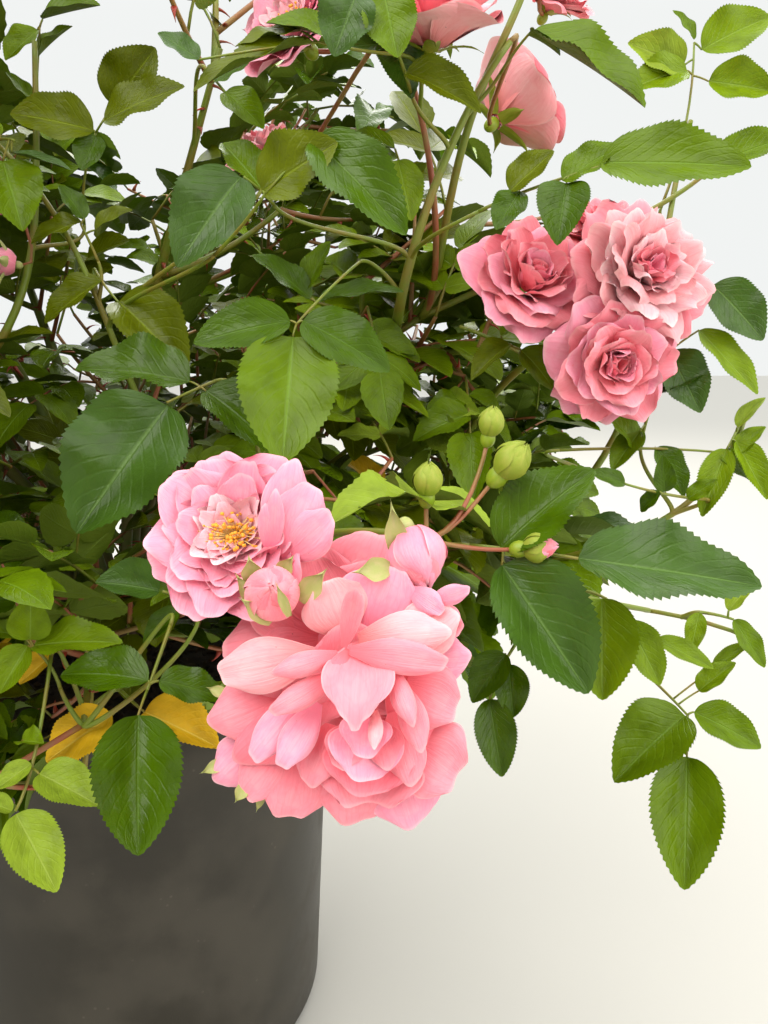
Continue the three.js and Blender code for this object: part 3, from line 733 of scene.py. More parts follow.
def petal_form(sheet, length, width, lean, tip_lean, cup, roll, ruffle, phase, claw=0.3, skew=0.0, notch=0.0):
    """A petal as out, across and up from its claw: it leaves at lean degrees from the flower's axis and bends
    to tip_lean, hollow by cup, its margin rolled back by roll."""
    u, v = sheet.points[:, 0], sheet.points[:, 1] * 2 - 1
    swell = np.sin(np.clip(u / 0.55, 0, 1) * math.pi / 2) ** 1.15
    top = np.clip((u - 0.55) / 0.45, 0, 1)
    half = width / 2 * (claw + (1 - claw) * swell) * np.cos(top * math.pi / 4) ** 1.6
    along = u - 0.5 * (top - np.sin(top * math.pi / 4)) * np.abs(v) ** 2
    along = along - notch * u**4 * np.exp(-((v / 0.22) ** 2))
    along += 0.02 * ruffle * np.sin(5 * v + phase) * u**3
    grid = np.linspace(-0.05, 1.1, 60)
    angle = np.radians(lean + (tip_lean - lean) * np.clip(grid, 0, 1) ** 1.3
                       + roll * 75 * np.clip((grid - 0.72) / 0.28, 0, 1.2) ** 2)
    step = grid[1] - grid[0]
    reach = np.cumsum(np.sin(angle)) * step
    rise = np.cumsum(np.cos(angle)) * step
    here = np.interp(along, grid, angle)
    out = np.interp(along, grid, reach) * length
    up = np.interp(along, grid, rise) * length
    margin = np.clip((np.abs(v) - 0.5) / 0.5, 0, 1)
    waves = 0.3 * u**2 * np.sin(3.3 * v + phase) + 0.16 * u * margin * np.sin(9 * u + phase)
    lift = half * (cup * v**2 * np.sqrt(np.clip(u, 0, 1)) - 0.75 * roll * margin**2 * u + ruffle * waves)
    across = v * half * (1 - 0.2 * roll * margin**2 * u - 0.22 * abs(cup) * np.abs(v)) + skew * length * u**2
    return np.column_stack([out - np.cos(here) * lift, across, up + np.sin(here) * lift])


def wrapped_form(sheet, radius, length, spread, overlap, gape):
    """A petal wrapped round a bud, its claw at the bottom and its tip drawn in at the top."""
    u, v = sheet.points[:, 0], sheet.points[:, 1] * 2 - 1
    swell = np.sin(math.pi * (0.14 + 0.845 * u)) ** 0.7
    top = np.clip((u - 0.6) / 0.4, 0, 1)
    height = length * (u - 0.16 * top * np.abs(v) ** 2 + 0.02 * np.sin(4 * v) * u)
    turn = v * spread * (0.75 + 0.25 * np.sin(math.pi * u))
    out = radius * (swell * (1 + overlap * v) + gape * u**3)
    return np.column_stack([out * np.cos(turn), out * np.sin(turn), height])


def turned_about(points, angle):
    """Points turned about the flower's axis, which is their third number."""
    cos, sin = math.cos(angle), math.sin(angle)
    x, y = points[:, 0] * cos - points[:, 1] * sin, points[:, 0] * sin + points[:, 1] * cos
    return np.column_stack([x, y, points[:, 2]])


def on_axis(points, centre, axis):
    return centre + points @ np.array([*cross_axes(axis), axis])


HERO_LEAFLET = sheet_shape(24, 6, toothed=True)
FINE_LEAFLET = sheet_shape(12, 4, toothed=True)
PLAIN_LEAFLET = sheet_shape(7, 2, toothed=True)
PLACED_PETAL = sheet_shape(14, 12)
FINE_PETAL = sheet_shape(11, 12)
MIDDLE_PETAL = sheet_shape(9, 10)
PLAIN_PETAL = sheet_shape(6, 6)
SEPAL = sheet_shape(7, 4)
WIDE_SEPAL = sheet_shape(14, 8)
CANE_TUBE = tube_shape(36, 14)
STEM_TUBE = tube_shape(24, 8)
TWIG_TUBE = tube_shape(8, 6)
RACHIS_TUBE = tube_shape(4, 4)
PRICKLE_TUBE = tube_shape(4, 5)
THREAD_TUBE = tube_shape(3, 3)
HIP_BALL = ball_shape(8, 10)
ANTHER_BALL = ball_shape(4, 5)
CRUMB = crumb_shape()
LEAFLET_FORMS = [
    leaflet_form(FINE_LEAFLET, 0.62, 0.28, 0.10, 0.10, 0.028, 0),
    leaflet_form(FINE_LEAFLET, 0.60, 0.42, 0.20, 0.06, 0.028, 1),
    leaflet_form(FINE_LEAFLET, 0.68, 0.14, 0.05, 0.14, 0.028, 2),
    leaflet_form(FINE_LEAFLET, 0.64, 0.34, 0.32, 0.12, 0.028, 4),
]
PLAIN_FORMS = [
    leaflet_form(PLAIN_LEAFLET, 0.6, 0.2, 0.12, 0.05, 0.024, 0),
    leaflet_form(PLAIN_LEAFLET, 0.58, 0.12, 0.25, 0.05, 0.024, 2),
]


# Growth, by the rule of the solids
def foot_curve():
    base = np.array([0.0, 0.0, SOIL["level"] + GAP])
    return (base, base + UP * FOOT["height"] * 0.5, base + np.array([FOOT["lean"], 0, FOOT["height"]]))


def foot_radius(t):
    flare = (FOOT["flare"] - FOOT["neck"]) * math.exp(-t * 9)
    knuckle = (FOOT["knuckle"] - FOOT["neck"]) * math.exp(-(((t - 0.68) / 0.16) ** 2))
    shoulder = (FOOT["neck"] - FOOT["top"]) * max(0, (t - 0.8) / 0.2) ** 2
    return FOOT["neck"] + flare + knuckle - shoulder


class Mass:
    """One cane and the mass of foliage on its tip."""

    def __init__(self, number, tier, index):
        self.tier, canes, azimuth, *sizes, self.roses = tier
        reach, height, stem_reach, stem_height, rise, start, inset = sizes
        self.number = number
        self.name = f"{self.tier}_{index + 1}"
        azimuth += 360 / canes * index
        self.tip = polar(azimuth, reach, height)
        self.end = polar(azimuth, stem_reach, stem_height)
        self.flowers = [flower for flower in FRONT_FLOWERS if flower[0] == self.name]
        self.centre = self.tip + (self.end - self.tip) * 0.7
        along = unit(self.end - self.tip)
        begin = point_on(foot_curve(), start / FOOT["height"]) + polar(azimuth, inset, 0)
        span = np.linalg.norm(self.tip - begin)
        angle = math.radians(rise)
        leave = polar(azimuth, math.cos(angle), math.sin(angle))
        self.cane = (begin, begin + leave * span * 0.45, self.tip - along * span * 0.3, self.tip)
        self.stem = arch(self.tip + along * GAP, along, self.end)
        self.shown_stem = self.stem


MASSES = []
for tier in TIERS:
    MASSES += [Mass(len(MASSES) + i, tier, i) for i in range(tier[1])]
CENTRES = np.array([mass.centre for mass in MASSES])
SHOWN_MIDDLES = np.array([
    (seen_at(leaflet[0]) + seen_at(leaflet[1])) / 2 for _, leaflets in SHOWN_SPRAYS for leaflet in leaflets])
SHOWN_DISTANCES = np.linalg.norm(SHOWN_MIDDLES - VIEW_POINT, axis=1)
SHOWN_SIGHTS = (SHOWN_MIDDLES - VIEW_POINT) / SHOWN_DISTANCES[:, None]


def outline(points):
    """Below 1 inside the crown."""
    rise = points[:, 2] - CROWN["centre"]
    half = np.where(rise > 0, CROWN["top"] - CROWN["centre"], CROWN["centre"] - CROWN["low"])
    return (np.hypot(points[:, 0], points[:, 1]) / CROWN["radius"]) ** 2 + np.abs(rise / half) ** 3


def clear_of_pot(points):
    reach = np.hypot(points[:, 0], points[:, 1])
    beside = reach > wall_at(points[:, 2]) + POT["band_out"] + CROWN["pot_clear"]
    over_soil, over_rim = SOIL["level"] + CROWN["soil_clear"], POT["height"] + CROWN["pot_clear"]
    return np.all(beside | (points[:, 2] > np.where(reach < POT["mouth"], over_soil, over_rim)))


def in_cell(points, mass):
    """In the crown, and nearer this mass's centre than any other."""
    reach = np.linalg.norm(points[:, None] - CENTRES[None], axis=2)
    own = reach[:, mass.number] + CROWN["gap"]
    reach[:, mass.number] = 1e9
    return np.all(outline(points) < 1) and np.all(reach.min(axis=1) > own) and clear_of_pot(points)


def in_crown(points, mass):
    return np.all(outline(points) < 0.985) and clear_of_pot(points) and not hides_front(points)


def hides_front(points):
    """True where a point stands between the viewer and a front bloom, or in its petals."""
    for _, at, _, radius, kind in FRONT_FLOWERS:
        sight = np.array(at) - VIEW_POINT
        distance = np.linalg.norm(sight)
        sight = sight / distance
        ahead = (points - VIEW_POINT) @ sight
        off = np.linalg.norm(points - VIEW_POINT - np.outer(ahead, sight), axis=1)
        wide = radius * (1.0 if radius > 15 else 1.6)
        if np.any((ahead < distance + radius * 0.5) & (off < wide * ahead / distance) & (ahead > 0)):
            return True
    ahead = points[:, 1] - VIEW_POINT[1]
    side = np.abs(points[:, 0] - VIEW_POINT[0])
    if np.any((ahead < CLEAR_AHEAD) & (side < ahead * CLEAR_SLOPE)):
        return True
    reach = np.linalg.norm(points - VIEW_POINT, axis=1)
    directions = (points - VIEW_POINT) / reach[:, None]
    level = directions @ SHOWN_SIGHTS.T
    return bool(np.any((level > CLEAR_COSINE) & (reach[:, None] < SHOWN_DISTANCES[None] + CLEAR_BEHIND)))


def slopes(point):
    """How far right and up a point shows from the view point, as slopes."""
    cos, sin = math.cos(math.radians(VIEW_TIP)), math.sin(math.radians(VIEW_TIP))
    away = point - VIEW_POINT
    ahead = max(away[1] * cos - away[2] * sin, 1)
    return away[0] / ahead, (away[1] * sin + away[2] * cos) / ahead


def sky_share(point):
    """The share of leaves left out where this point shows."""
    right, up = slopes(point)
    shares = [share for left, low, far, high, share in SKY if left < right < far and low < up < high]
    return max(shares, default=0)


def leaf_pose(axis, turn, lean):
    radial = radial_at(axis, turn)
    along = unit(axis * 0.5 + radial * 0.85 + UP * 0.12)
    face = square_to(along, UP + radial * lean)
    if np.linalg.norm(face) < 0.15:
        face = square_to(along, radial)
    return along, unit(face)


def leaf_reach(root, along, face, scale):
    """The points by which a compound leaf's room is tested."""
    across = np.cross(along, face)
    spots = ((20, 26, 0), (20, -26, 0), (45, 28, -4), (45, -28, -4), (86, 0, -8), (66, 10, -3), (66, -10, -3))
    return np.array([root + (along * x + across * y + face * z) * scale for x, y, z in spots])


class Leaf:
    """A compound leaf's place, how it is divided, and the dice for the rest of it."""

    def __init__(self, root, along, face, scale, roll):
        self.root, self.along, self.face, self.scale = root, along, face, scale
        self.pairs = 2 if roll(0, 1) < 0.8 else 3
        self.roll = roll


# The colours dealt to the leaves outside, each with the share of leaves up to it.
TINTS = (
    (0.14, LEAF_YOUNG), (0.36, LEAF_BRIGHT), (0.44, LEAF_GREY), (0.6, LEAF_OLIVE), (0.84, LEAF_MIDDLE),
    (1, LEAF_DEEP),
)


def tint_for(roll, root):
    """The slot of a leaf's colour: lighter greens inside the crown as painted light, and yellow only on a few
    leaves low down.
    """
    share = roll(0, 1)
    # Painted light: leaves deep in the crown get the lighter olive, middle and bright greens, to lift the
    # shade there.
    if outline(np.array([root]))[0] < 0.35:
        return LEAF_OLIVE if share < 0.25 else LEAF_MIDDLE if share < 0.6 else LEAF_BRIGHT
    if share < 0.035 and root[2] < 300:
        return LEAF_YELLOW
    return next(slot for most, slot in TINTS if share < most)


class Growth:
    """Everything that grows: the twigs as curves, the leaves, the roses on their stalks."""

    def __init__(self):
        self.twigs = []
        self.leaves = {mass.name: [] for mass in MASSES}
        self.roses = []
        for mass in MASSES:
            self.grow(mass)

    def grow(self, mass):
        number = mass.number
        start = dice(number)(0, 2 * math.pi)
        stem_share = 0.0
        shoots = []
        for index in range(SHOOTS):
            roll = dice(number, index)
            share = 0.1 + 0.84 * index / (SHOOTS - 1)
            base, axis = point_on(mass.stem, share), tangent_on(mass.stem, share)
            radial = radial_at(axis, start + index * GOLDEN_ANGLE + roll(-0.3, 0.3))
            leave = unit(axis * 0.6 + radial * 0.8)
            length = roll(48, 88)
            end = base + leave * length * 0.85 + UP * length * roll(0.05, 0.4)
            curve = arch(base, leave, end)
            turn = roll(0, 2 * math.pi)
            blooms = not mass.flowers and roll(0, 1) < mass.roses
            samples = np.array([point_on(curve, s) for s in (0.25, 0.5, 0.75, 1)])
            if not in_cell(samples, mass) or hides_front(samples):
                continue
            rose = None
            if blooms:
                facing = unit(tangent_on(curve, 1) * 0.7 + UP * 0.3)
                rose = (point_on(curve, 1) + facing * ROSE_RADIUS * 0.8, facing)
                if not in_cell(np.array([rose[0] + facing * 8, rose[0]]), mass) or sky_share(rose[0]) > 0.3:
                    rose = None
            shoots.append((index, share, curve, turn, (0.55,) if blooms else (0.5, 1), rose))
        top = self.leaf_out(mass, 8, mass.stem, start + 1, (0.4, 0.7, 1))
        for index, share, curve, turn, shares, rose in shoots:
            leafy = self.leaf_out(mass, index, curve, turn, shares)
            twiggy = self.branch(mass, curve, 100 + index * 10, (0.28, 0.55, 0.8), 30, 54)
            last = max(leafy, twiggy, 1.0 if rose else 0.0)
            if last:
                self.twigs.append((cut_at(curve, last), *SHOOT_RADII, mass))
                stem_share = max(stem_share, share)
            if rose:
                self.roses.append((mass, rose[0], rose[1], curve))
        twiggy = self.branch(mass, mass.stem, 300, (0.08, 0.22, 0.36, 0.5, 0.64, 0.78, 0.9), 34, 60)
        mass.shown_stem = cut_at(mass.stem, max(stem_share, top, twiggy, 0.3))
        self.twigs.append((mass.shown_stem, *STEM_RADII, mass))
        self.branch(mass, mass.cane, 400, (0.5, 0.66, 0.8, 0.93), 34, 60)

    def leaf_out(self, mass, twig, curve, turn, shares):
        """Leaves along a shoot. Gives the share of the shoot that the last one stands at."""
        last = 0.0
        for k, share in enumerate(shares):
            roll = dice(mass.number, twig, k)
            lean, scale = roll(-0.5, 0.5), roll(1, 1.3)
            if self.try_leaf(mass, curve, share, turn + k * GOLDEN_ANGLE, lean, scale * 0.92, roll, in_cell):
                last = share
        return last

    def try_leaf(self, mass, curve, share, turn, lean, scale, roll, fits):
        root, axis = point_on(curve, share), tangent_on(curve, share)
        for swing in LEAF_SWINGS:
            along, face = leaf_pose(axis, turn + swing, lean)
            reach = leaf_reach(root, along, face, scale)
            if fits(reach, mass) and not hides_front(reach):
                if dice(int(root[0] * 7), int(root[2] * 5))(0, 1) < sky_share(root + along * 50 * scale):
                    return False
                self.leaves[mass.name].append(Leaf(root, along, face, scale, roll))
                return True
        return False

    def branch(self, mass, curve, key, shares, shortest, longest):
        """Finer twigs on a shoot, stem or cane, each with one or two smaller leaves. Gives the share of the
        last one."""
        last = 0.0
        for j, share in enumerate(shares):
            roll = dice(mass.number, key, j)
            base, axis = point_on(curve, share), tangent_on(curve, share)
            radial = radial_at(axis, key + j * GOLDEN_ANGLE + roll(-0.5, 0.5))
            leave = unit(axis * 0.5 + radial * 0.9 + UP * roll(0, 0.3))
            end = base + leave * roll(shortest, longest) + UP * roll(0, 10)
            twig = arch(base, leave, end)
            samples = np.array([point_on(twig, s) for s in (0.5, 1)])
            if not in_crown(samples, mass):
                continue
            turn = roll(0, 2 * math.pi)
            reach = 0.0
            for k, at in enumerate((0.45, 1.0)):
                lean, scale = roll(-0.5, 0.5), roll(0.6, 0.88)
                if self.try_leaf(mass, twig, at, turn + k * GOLDEN_ANGLE, lean, scale, roll, in_crown):
                    reach = at
            if reach:
                self.twigs.append((cut_at(twig, reach), *TWIG_RADII, mass))
                last = share
        return last


GROWN = []


def growth():
    """The bush, grown once for all the operators."""
    if not GROWN:
        GROWN.append(Growth())
    return GROWN[0]


# Materials
def feed(tree, node, **values):
    """Links or sets a node's inputs, each named by its label with _ for a space. Gives the node."""
    for label, value in values.items():
        socket = node.inputs[label.replace("_", " ")]
        if isinstance(value, bpy.types.NodeSocket):
            tree.links.new(value, socket)
        elif isinstance(value, (int, float)):
            socket.default_value = value
        else:
            socket.default_value = (*value[:3], 1)
    return node


def named_group(name, fill, outputs, **numbers):
    """The node group of that name. It takes a place and some numbers, and gives a number for each output."""
    group = bpy.data.node_groups.get(name)
    if group:
        return group
    group = bpy.data.node_groups.new(name, "ShaderNodeTree")
    group.interface.new_socket(name="Place", in_out="INPUT", socket_type="NodeSocketVector")
    for label, default in numbers.items():
        socket = group.interface.new_socket(
            name=label.replace("_", " "), in_out="INPUT", socket_type="NodeSocketFloat")
        socket.default_value = default
    for label in outputs:
        group.interface.new_socket(name=label, in_out="OUTPUT", socket_type="NodeSocketFloat")
    fill(group, group.nodes.new("NodeGroupInput"), group.nodes.new("NodeGroupOutput"))
    return group


def maths(tree, operation, first, second=None):
    node = tree.nodes.new("ShaderNodeMath")
    node.operation = operation
    for socket, value in zip(node.inputs, (first, second)):
        if isinstance(value, bpy.types.NodeSocket):
            tree.links.new(value, socket)
        elif value is not None:
            socket.default_value = value
    return node.outputs[0]


def times(tree, first, second):
    return maths(tree, "MULTIPLY", first, second)


def plus(tree, first, second):
    return maths(tree, "ADD", first, second)


def ramp(tree, value, low, high, to_low=0.0, to_high=1.0):
    node = tree.nodes.new("ShaderNodeMapRange")
    node.interpolation_type = "SMOOTHSTEP"
    feed(tree, node, Value=value, From_Min=low, From_Max=high, To_Min=to_low, To_Max=to_high)
    return node.outputs["Result"]


def mixed(tree, factor, first, second):
    node = tree.nodes.new("ShaderNodeMix")
    node.data_type = "RGBA"
    return feed(tree, node, Factor=factor, A=first, B=second).outputs["Result"]


def noise_value(tree, vector, scale, detail=4.0, roughness=0.55):
    node = tree.nodes.new("ShaderNodeTexNoise")
    feed(tree, node, Vector=vector, Scale=scale, Detail=detail, Roughness=roughness)
    return node.outputs["Fac"]


def stretched(tree, place, scale):
    node = tree.nodes.new("ShaderNodeMapping")
    node.inputs["Scale"].default_value = scale
    return feed(tree, node, Vector=place).outputs["Vector"]


def cell_distance(tree, place, scale, feature="F1"):
    """How far a place is from the middle of its cell, or from its edge."""
    node = tree.nodes.new("ShaderNodeTexVoronoi")
    node.feature = feature
    return feed(tree, node, Vector=place, Scale=scale).outputs["Distance"]


def along_and_off(group, place):
    """How far along its pattern a place is, and how far off the middle line."""
    split = group.nodes.new("ShaderNodeSeparateXYZ")
    group.links.new(place, split.inputs[0])
    return split.outputs["X"], maths(group, "ABSOLUTE", maths(group, "SUBTRACT", split.outputs["Y"], 0.5))


def fill_leaf_veins(group, given, result):
    place = given.outputs["Place"]
    along, off = along_and_off(group, place)
    midrib = ramp(group, off, 0.006, 0.032, 1, 0)
    stray = noise_value(group, place, 4.0, 2.0)
    quilt = noise_value(group, place, 11.0, 3.0)
    swept = maths(group, "SUBTRACT", along, times(group, off, 0.75))
    swept = plus(group, swept, times(group, stray, 0.07))
    wave = maths(group, "PINGPONG", times(group, swept, given.outputs["Side Veins"]), 0.5)
    side = times(group, ramp(group, wave, 0.02, 0.16, 1, 0), ramp(group, off, 0.3, 0.48, 1, 0.2))
    relief = plus(group, times(group, midrib, -1.0), times(group, side, -0.3))
    relief = plus(group, relief, times(group, quilt, 1.1))
    feed(group, result, Midrib=midrib, Side_Vein=side, Relief=relief)


def leaf_veins():
    return named_group("Leaf Veins", fill_leaf_veins, ("Midrib", "Side Vein", "Relief"), Side_Veins=9.0)


def fill_petal_wash(group, given, result):
    place = given.outputs["Place"]
    along, off = along_and_off(group, place)
    blotch = noise_value(group, place, 3.2, 2.0)
    net = cell_distance(group, stretched(group, place, (4.5, 13.0, 1.0)), 1.0, "DISTANCE_TO_EDGE")
    speck = ramp(group, cell_distance(group, place, 5.0), 0.03, 0.07, 1, 0)
    feed(
        group, result,
        Claw=ramp(group, along, 0.05, 0.55, 1, 0),
        Rim=maths(group, "MAXIMUM", ramp(group, along, 0.92, 0.99), ramp(group, off, 0.455, 0.495)),
        Vein=noise_value(group, stretched(group, place, (2.0, 22.0, 1.0)), 1.0, 3.0),
        Blotch=ramp(group, blotch, 0.35, 0.65),
        Net=ramp(group, net, 0.02, 0.12, 1, 0),
        Speck=times(group, speck, ramp(group, blotch, 0.52, 0.6)),
    )


def petal_wash():
    return named_group("Petal Wash", fill_petal_wash, ("Claw", "Rim", "Vein", "Blotch", "Net", "Speck"))


def fill_weathering(group, given, result):
    scaled = group.nodes.new("ShaderNodeVectorMath")
    scaled.operation = "SCALE"
    group.links.new(given.outputs["Place"], scaled.inputs[0])
    place = feed(group, scaled, Scale=given.outputs["Scale"]).outputs["Vector"]
    broad = noise_value(group, place, 1.0, 6.0)
    spots = ramp(group, cell_distance(group, place, 6.0), 0.05, 0.12, 1, 0)
    feed(
        group, result,
        Broad=ramp(group, broad, 0.38, 0.66),
        Fine=noise_value(group, place, 9.0, 5.0, 0.7),
        Spots=times(group, spots, ramp(group, broad, 0.5, 0.62)),
    )


def weathering():
    return named_group("Weathering", fill_weathering, ("Broad", "Fine", "Spots"), Scale=40.0)


def paint(fill):
    """Makes a function that fills a material's tree and shader into one that gives the named material."""
    def named(name, *values, **options):
        material = bpy.data.materials.get(name)
        if material is None:
            material = bpy.data.materials.new(name)
            material.use_nodes = True
            fill(material.node_tree, material.node_tree.nodes["Principled BSDF"], *values, **options)
        return material

    return named


def pattern_place(tree):
    place = tree.nodes.new("ShaderNodeUVMap")
    place.uv_map = "pattern"
    return place.outputs["UV"]


def object_place(tree):
    return tree.nodes.new("ShaderNodeTexCoord").outputs["Object"]


def grouped(tree, group, place, **values):
    node = tree.nodes.new("ShaderNodeGroup")
    node.node_tree = group
    return feed(tree, node, Place=place, **values).outputs


def washed(tree, tone, mask, share, colour):
    """The tone with so large a share of a colour laid over it where the mask is white."""
    return mixed(tree, times(tree, mask, share), tone, colour)


def finish(tree, shader, tone, roughness, relief, depth, strength, **values):
    """Gives a material its colour, its roughness and its relief."""
    bump = tree.nodes.new("ShaderNodeBump")
    normal = feed(tree, bump, Height=relief, Distance=depth, Strength=strength).outputs["Normal"]
    feed(tree, shader, Base_Color=tone, Roughness=roughness, Normal=normal, **values)


@paint
def leaf_paint(tree, shader, colour, vein, under, roughness=0.27, shine=0.16):
    place = pattern_place(tree)
    veins = grouped(tree, leaf_veins(), place, Side_Veins=9.0)
    patch = ramp(tree, noise_value(tree, place, 2.6, 3.0), 0.35, 0.7)
    blade = mixed(tree, patch, colour, [c * 0.72 for c in colour])
    blade = washed(tree, blade, veins["Side Vein"], 0.07, vein)
    blade = washed(tree, blade, veins["Midrib"], 0.6, vein)
    back = tree.nodes.new("ShaderNodeNewGeometry").outputs["Backfacing"]
    blade = washed(tree, blade, back, 0.75, under)
    dull = plus(tree, times(tree, back, 0.3), roughness)
    finish(tree, shader, blade, dull, veins["Relief"], 0.0006, 0.42, Specular_IOR_Level=shine)


@paint
def petal_paint(tree, shader, colour, claw, rim, depth):
    wash = grouped(tree, petal_wash(), pattern_place(tree))
    deeper = [colour[0] * 0.93, colour[1] * 0.66, colour[2] * 0.7]
    tone = washed(tree, colour, wash["Blotch"], depth, rim)
    tone = washed(tree, tone, ramp(tree, wash["Vein"], 0.45, 0.75), 0.45, deeper)
    # Toward the claw most petals turn deeper pink: partly their own deeper base, partly painted shade where
    # the petals crowd into the heart. Pale and cream petals turn yellow there.
    tone = washed(tree, tone, wash["Claw"], 0.85, claw)
    tone = washed(tree, tone, wash["Net"], 0.18, deeper)
    # Paler at the tip and margins: partly the petal's own paler rim, partly a painted highlight along the
    # rolled-back edge.
    tone = washed(tree, tone, wash["Rim"], 0.45, [1 - (1 - c) * 0.85 for c in rim])
    tone = washed(tree, tone, wash["Speck"], 0.75, [0.3, 0.06, 0.04])
    finish(tree, shader, tone, 0.62, wash["Vein"], 0.0006, 0.5, Specular_IOR_Level=0.3, Sheen_Weight=0.25)


@paint
def skin_paint(tree, shader, colour, blush, roughness=0.45, scale=60.0, by_pattern=False):
    """Smooth living skin, mottled with a second colour: twigs, stalks, sepals, prickles and hips."""
    place = pattern_place(tree) if by_pattern else object_place(tree)
    marks = grouped(tree, weathering(), place, Scale=scale)
    tone = washed(tree, colour, marks["Broad"], 0.8, blush)
    tone = washed(tree, tone, marks["Spots"], 0.4, [c * 0.5 for c in colour])
    finish(tree, shader, tone, roughness, marks["Fine"], 0.0002, 0.3)


@paint
def plastic_paint(tree, shader, plastic, dust):
    """Dark plastic with dusty patches, dried drops and fine specks."""
    marks = grouped(tree, weathering(), object_place(tree), Scale=22.0)
    specks = grouped(tree, weathering(), object_place(tree), Scale=130.0)
    tone = washed(tree, plastic, marks["Broad"], 0.25, dust)
    tone = washed(tree, tone, marks["Spots"], 0.35, dust)
    tone = washed(tree, tone, specks["Spots"], 0.3, dust)
    dull = plus(tree, times(tree, marks["Broad"], 0.2), 0.42)
    finish(tree, shader, tone, dull, specks["Fine"], 0.0002, 0.25)


@paint
def crumbly_paint(tree, shader, colour):
    """Moist compost, darker in patches, with paler grains."""
    marks = grouped(tree, weathering(), object_place(tree), Scale=160.0)
    tone = mixed(tree, marks["Broad"], colour, [c * 0.45 for c in colour])
    tone = mixed(tree, ramp(tree, marks["Fine"], 0.55, 0.8), tone, [min(1, c * 2.4) for c in colour])
    finish(tree, shader, tone, 0.85, marks["Fine"], 0.0015, 0.8)


@paint
def bark_paint(tree, shader, colour, hollow, ridge):
    """Woody bark, its marks drawn out along the stem."""
    marks = grouped(tree, weathering(), stretched(tree, object_place(tree), (1, 1, 0.25)), Scale=150.0)
    tone = mixed(tree, marks["Broad"], colour, hollow)
    tone = mixed(tree, ramp(tree, marks["Fine"], 0.55, 0.75), tone, ridge)
    finish(tree, shader, tone, 0.8, marks["Fine"], 0.0012, 0.8)


@paint
def floor_paint(tree, shader, colour):
    feed(tree, shader, Base_Color=colour, Roughness=0.9)


# Settings
def colour_setting(name, description, default):
    return FloatVectorProperty(
        name=name, description=description, default=default, size=3, min=0, max=1, subtype="COLOR")


def length_setting(name, description, default, least, most):
    return FloatProperty(name=name, description=description, default=default, min=least, max=most,
                         unit="LENGTH", subtype="DISTANCE")


class RosePotSettings(bpy.types.PropertyGroup):
    wall: length_setting("Wall", "Thickness of the pot's wall", POT["wall"] * MM, 0.001, 0.006)
    sides: IntProperty(name="Sides", description="Steps round the pot", default=120, min=24, max=256)
    plastic: colour_setting("Plastic", "Colour of the pot", (0.0185, 0.0145, 0.0075))
    dust: colour_setting("Dust", "Colour of dust and dried water", (0.12, 0.105, 0.08))


class RoseCompostSettings(bpy.types.PropertyGroup):
    crumbs: IntProperty(
        name="Crumbs", description="Loose crumbs and bark chips", default=900, min=0, max=5000)
    soil: colour_setting("Compost", "Colour of the moist compost", (0.045, 0.026, 0.014))


class RoseCaneSettings(bpy.types.PropertyGroup):
    base_radius: length_setting("Cane radius", "Radius where a cane leaves the foot", 0.003, 0.001, 0.01)
    tip_radius: length_setting("Tip radius", "Radius of a cane where it enters its mass", 0.0024, 0.001, 0.01)
    prickle: length_setting("Prickle", "Length of a prickle", 0.0065, 0.001, 0.015)
    green: colour_setting("Green", "Skin of young wood", (0.12, 0.17, 0.02))
    red: colour_setting("Red", "Blush of young wood and prickles", (0.3, 0.07, 0.03))


class RoseLeafSettings(bpy.types.PropertyGroup):
    leaflet: length_setting("Leaflet", "Length of the end leaflet of a full leaf", 0.034, 0.01, 0.06)
    deep: colour_setting("Deep green", "Most of the leaves", (0.058, 0.116, 0.0006))
    bright: colour_setting("Bright green", "Leaves that the light shines on", (0.17, 0.262, 0.003))
    young: colour_setting("Young green", "Young leaves", (0.26, 0.36, 0.025))
    yellow: colour_setting("Yellow", "Leaves about to fall", (0.75, 0.45, 0.015))


class RoseBloomSettings(bpy.types.PropertyGroup):
    pink: colour_setting("Pink", "Most of the petals", (0.97, 0.33, 0.46))
    salmon: colour_setting("Salmon", "Petals deep in the flower", (0.96, 0.20, 0.26))
    # The pale pink laid on rims is partly their own fading and partly a painted highlight of the rolled edge.
    pale: colour_setting("Pale pink", "Faded petals and rims", (0.97, 0.52, 0.58))
    coral: colour_setting("Coral", "Petals of the warmer roses", (0.96, 0.265, 0.33))
    stamens: IntProperty(name="Stamens", description="Stamens in an open rose", default=120, min=5, max=200)
    anther: colour_setting("Anther", "Colour of the anthers", (0.96, 0.48, 0.05))


class RoseStageSettings(bpy.types.PropertyGroup):
    light: FloatProperty(
        name="Light", description="Strength of the main soft light in watts", default=36, min=0, max=200)
    surround: FloatProperty(
        name="Surround", description="Strength of the pale surround", default=0.95, min=0, max=5)
    floor: colour_setting("Floor", "Colour of the floor", (0.46, 0.445, 0.41))


def leaf_materials(settings):
    deep, bright = list(settings.deep), list(settings.bright)
    young, yellow = list(settings.young), list(settings.yellow)
    middle = [(a + b) / 2 for a, b in zip(deep, bright)]
    under = [0.13, 0.19, 0.02]
    return [
        leaf_paint("Leaf_Deep", deep, [0.09, 0.17, 0.012], under, 0.25, 0.22),
        leaf_paint("Leaf_Middle", middle, [0.16, 0.27, 0.025], under, 0.27),
        leaf_paint("Leaf_Bright", bright, [0.24, 0.36, 0.05], under, 0.3),
        leaf_paint("Leaf_Grey", [0.046, 0.103, 0.006], [0.11, 0.2, 0.035], under, 0.32, 0.28),
        leaf_paint("Leaf_Young", young, [0.36, 0.45, 0.08], [0.2, 0.28, 0.05], 0.36),
        leaf_paint("Leaf_Yellow", yellow, [0.85, 0.65, 0.1], yellow, 0.42),
        leaf_paint("Leaf_Olive", [0.115, 0.145, 0.0006], [0.22, 0.28, 0.01], under, 0.3),
    ]


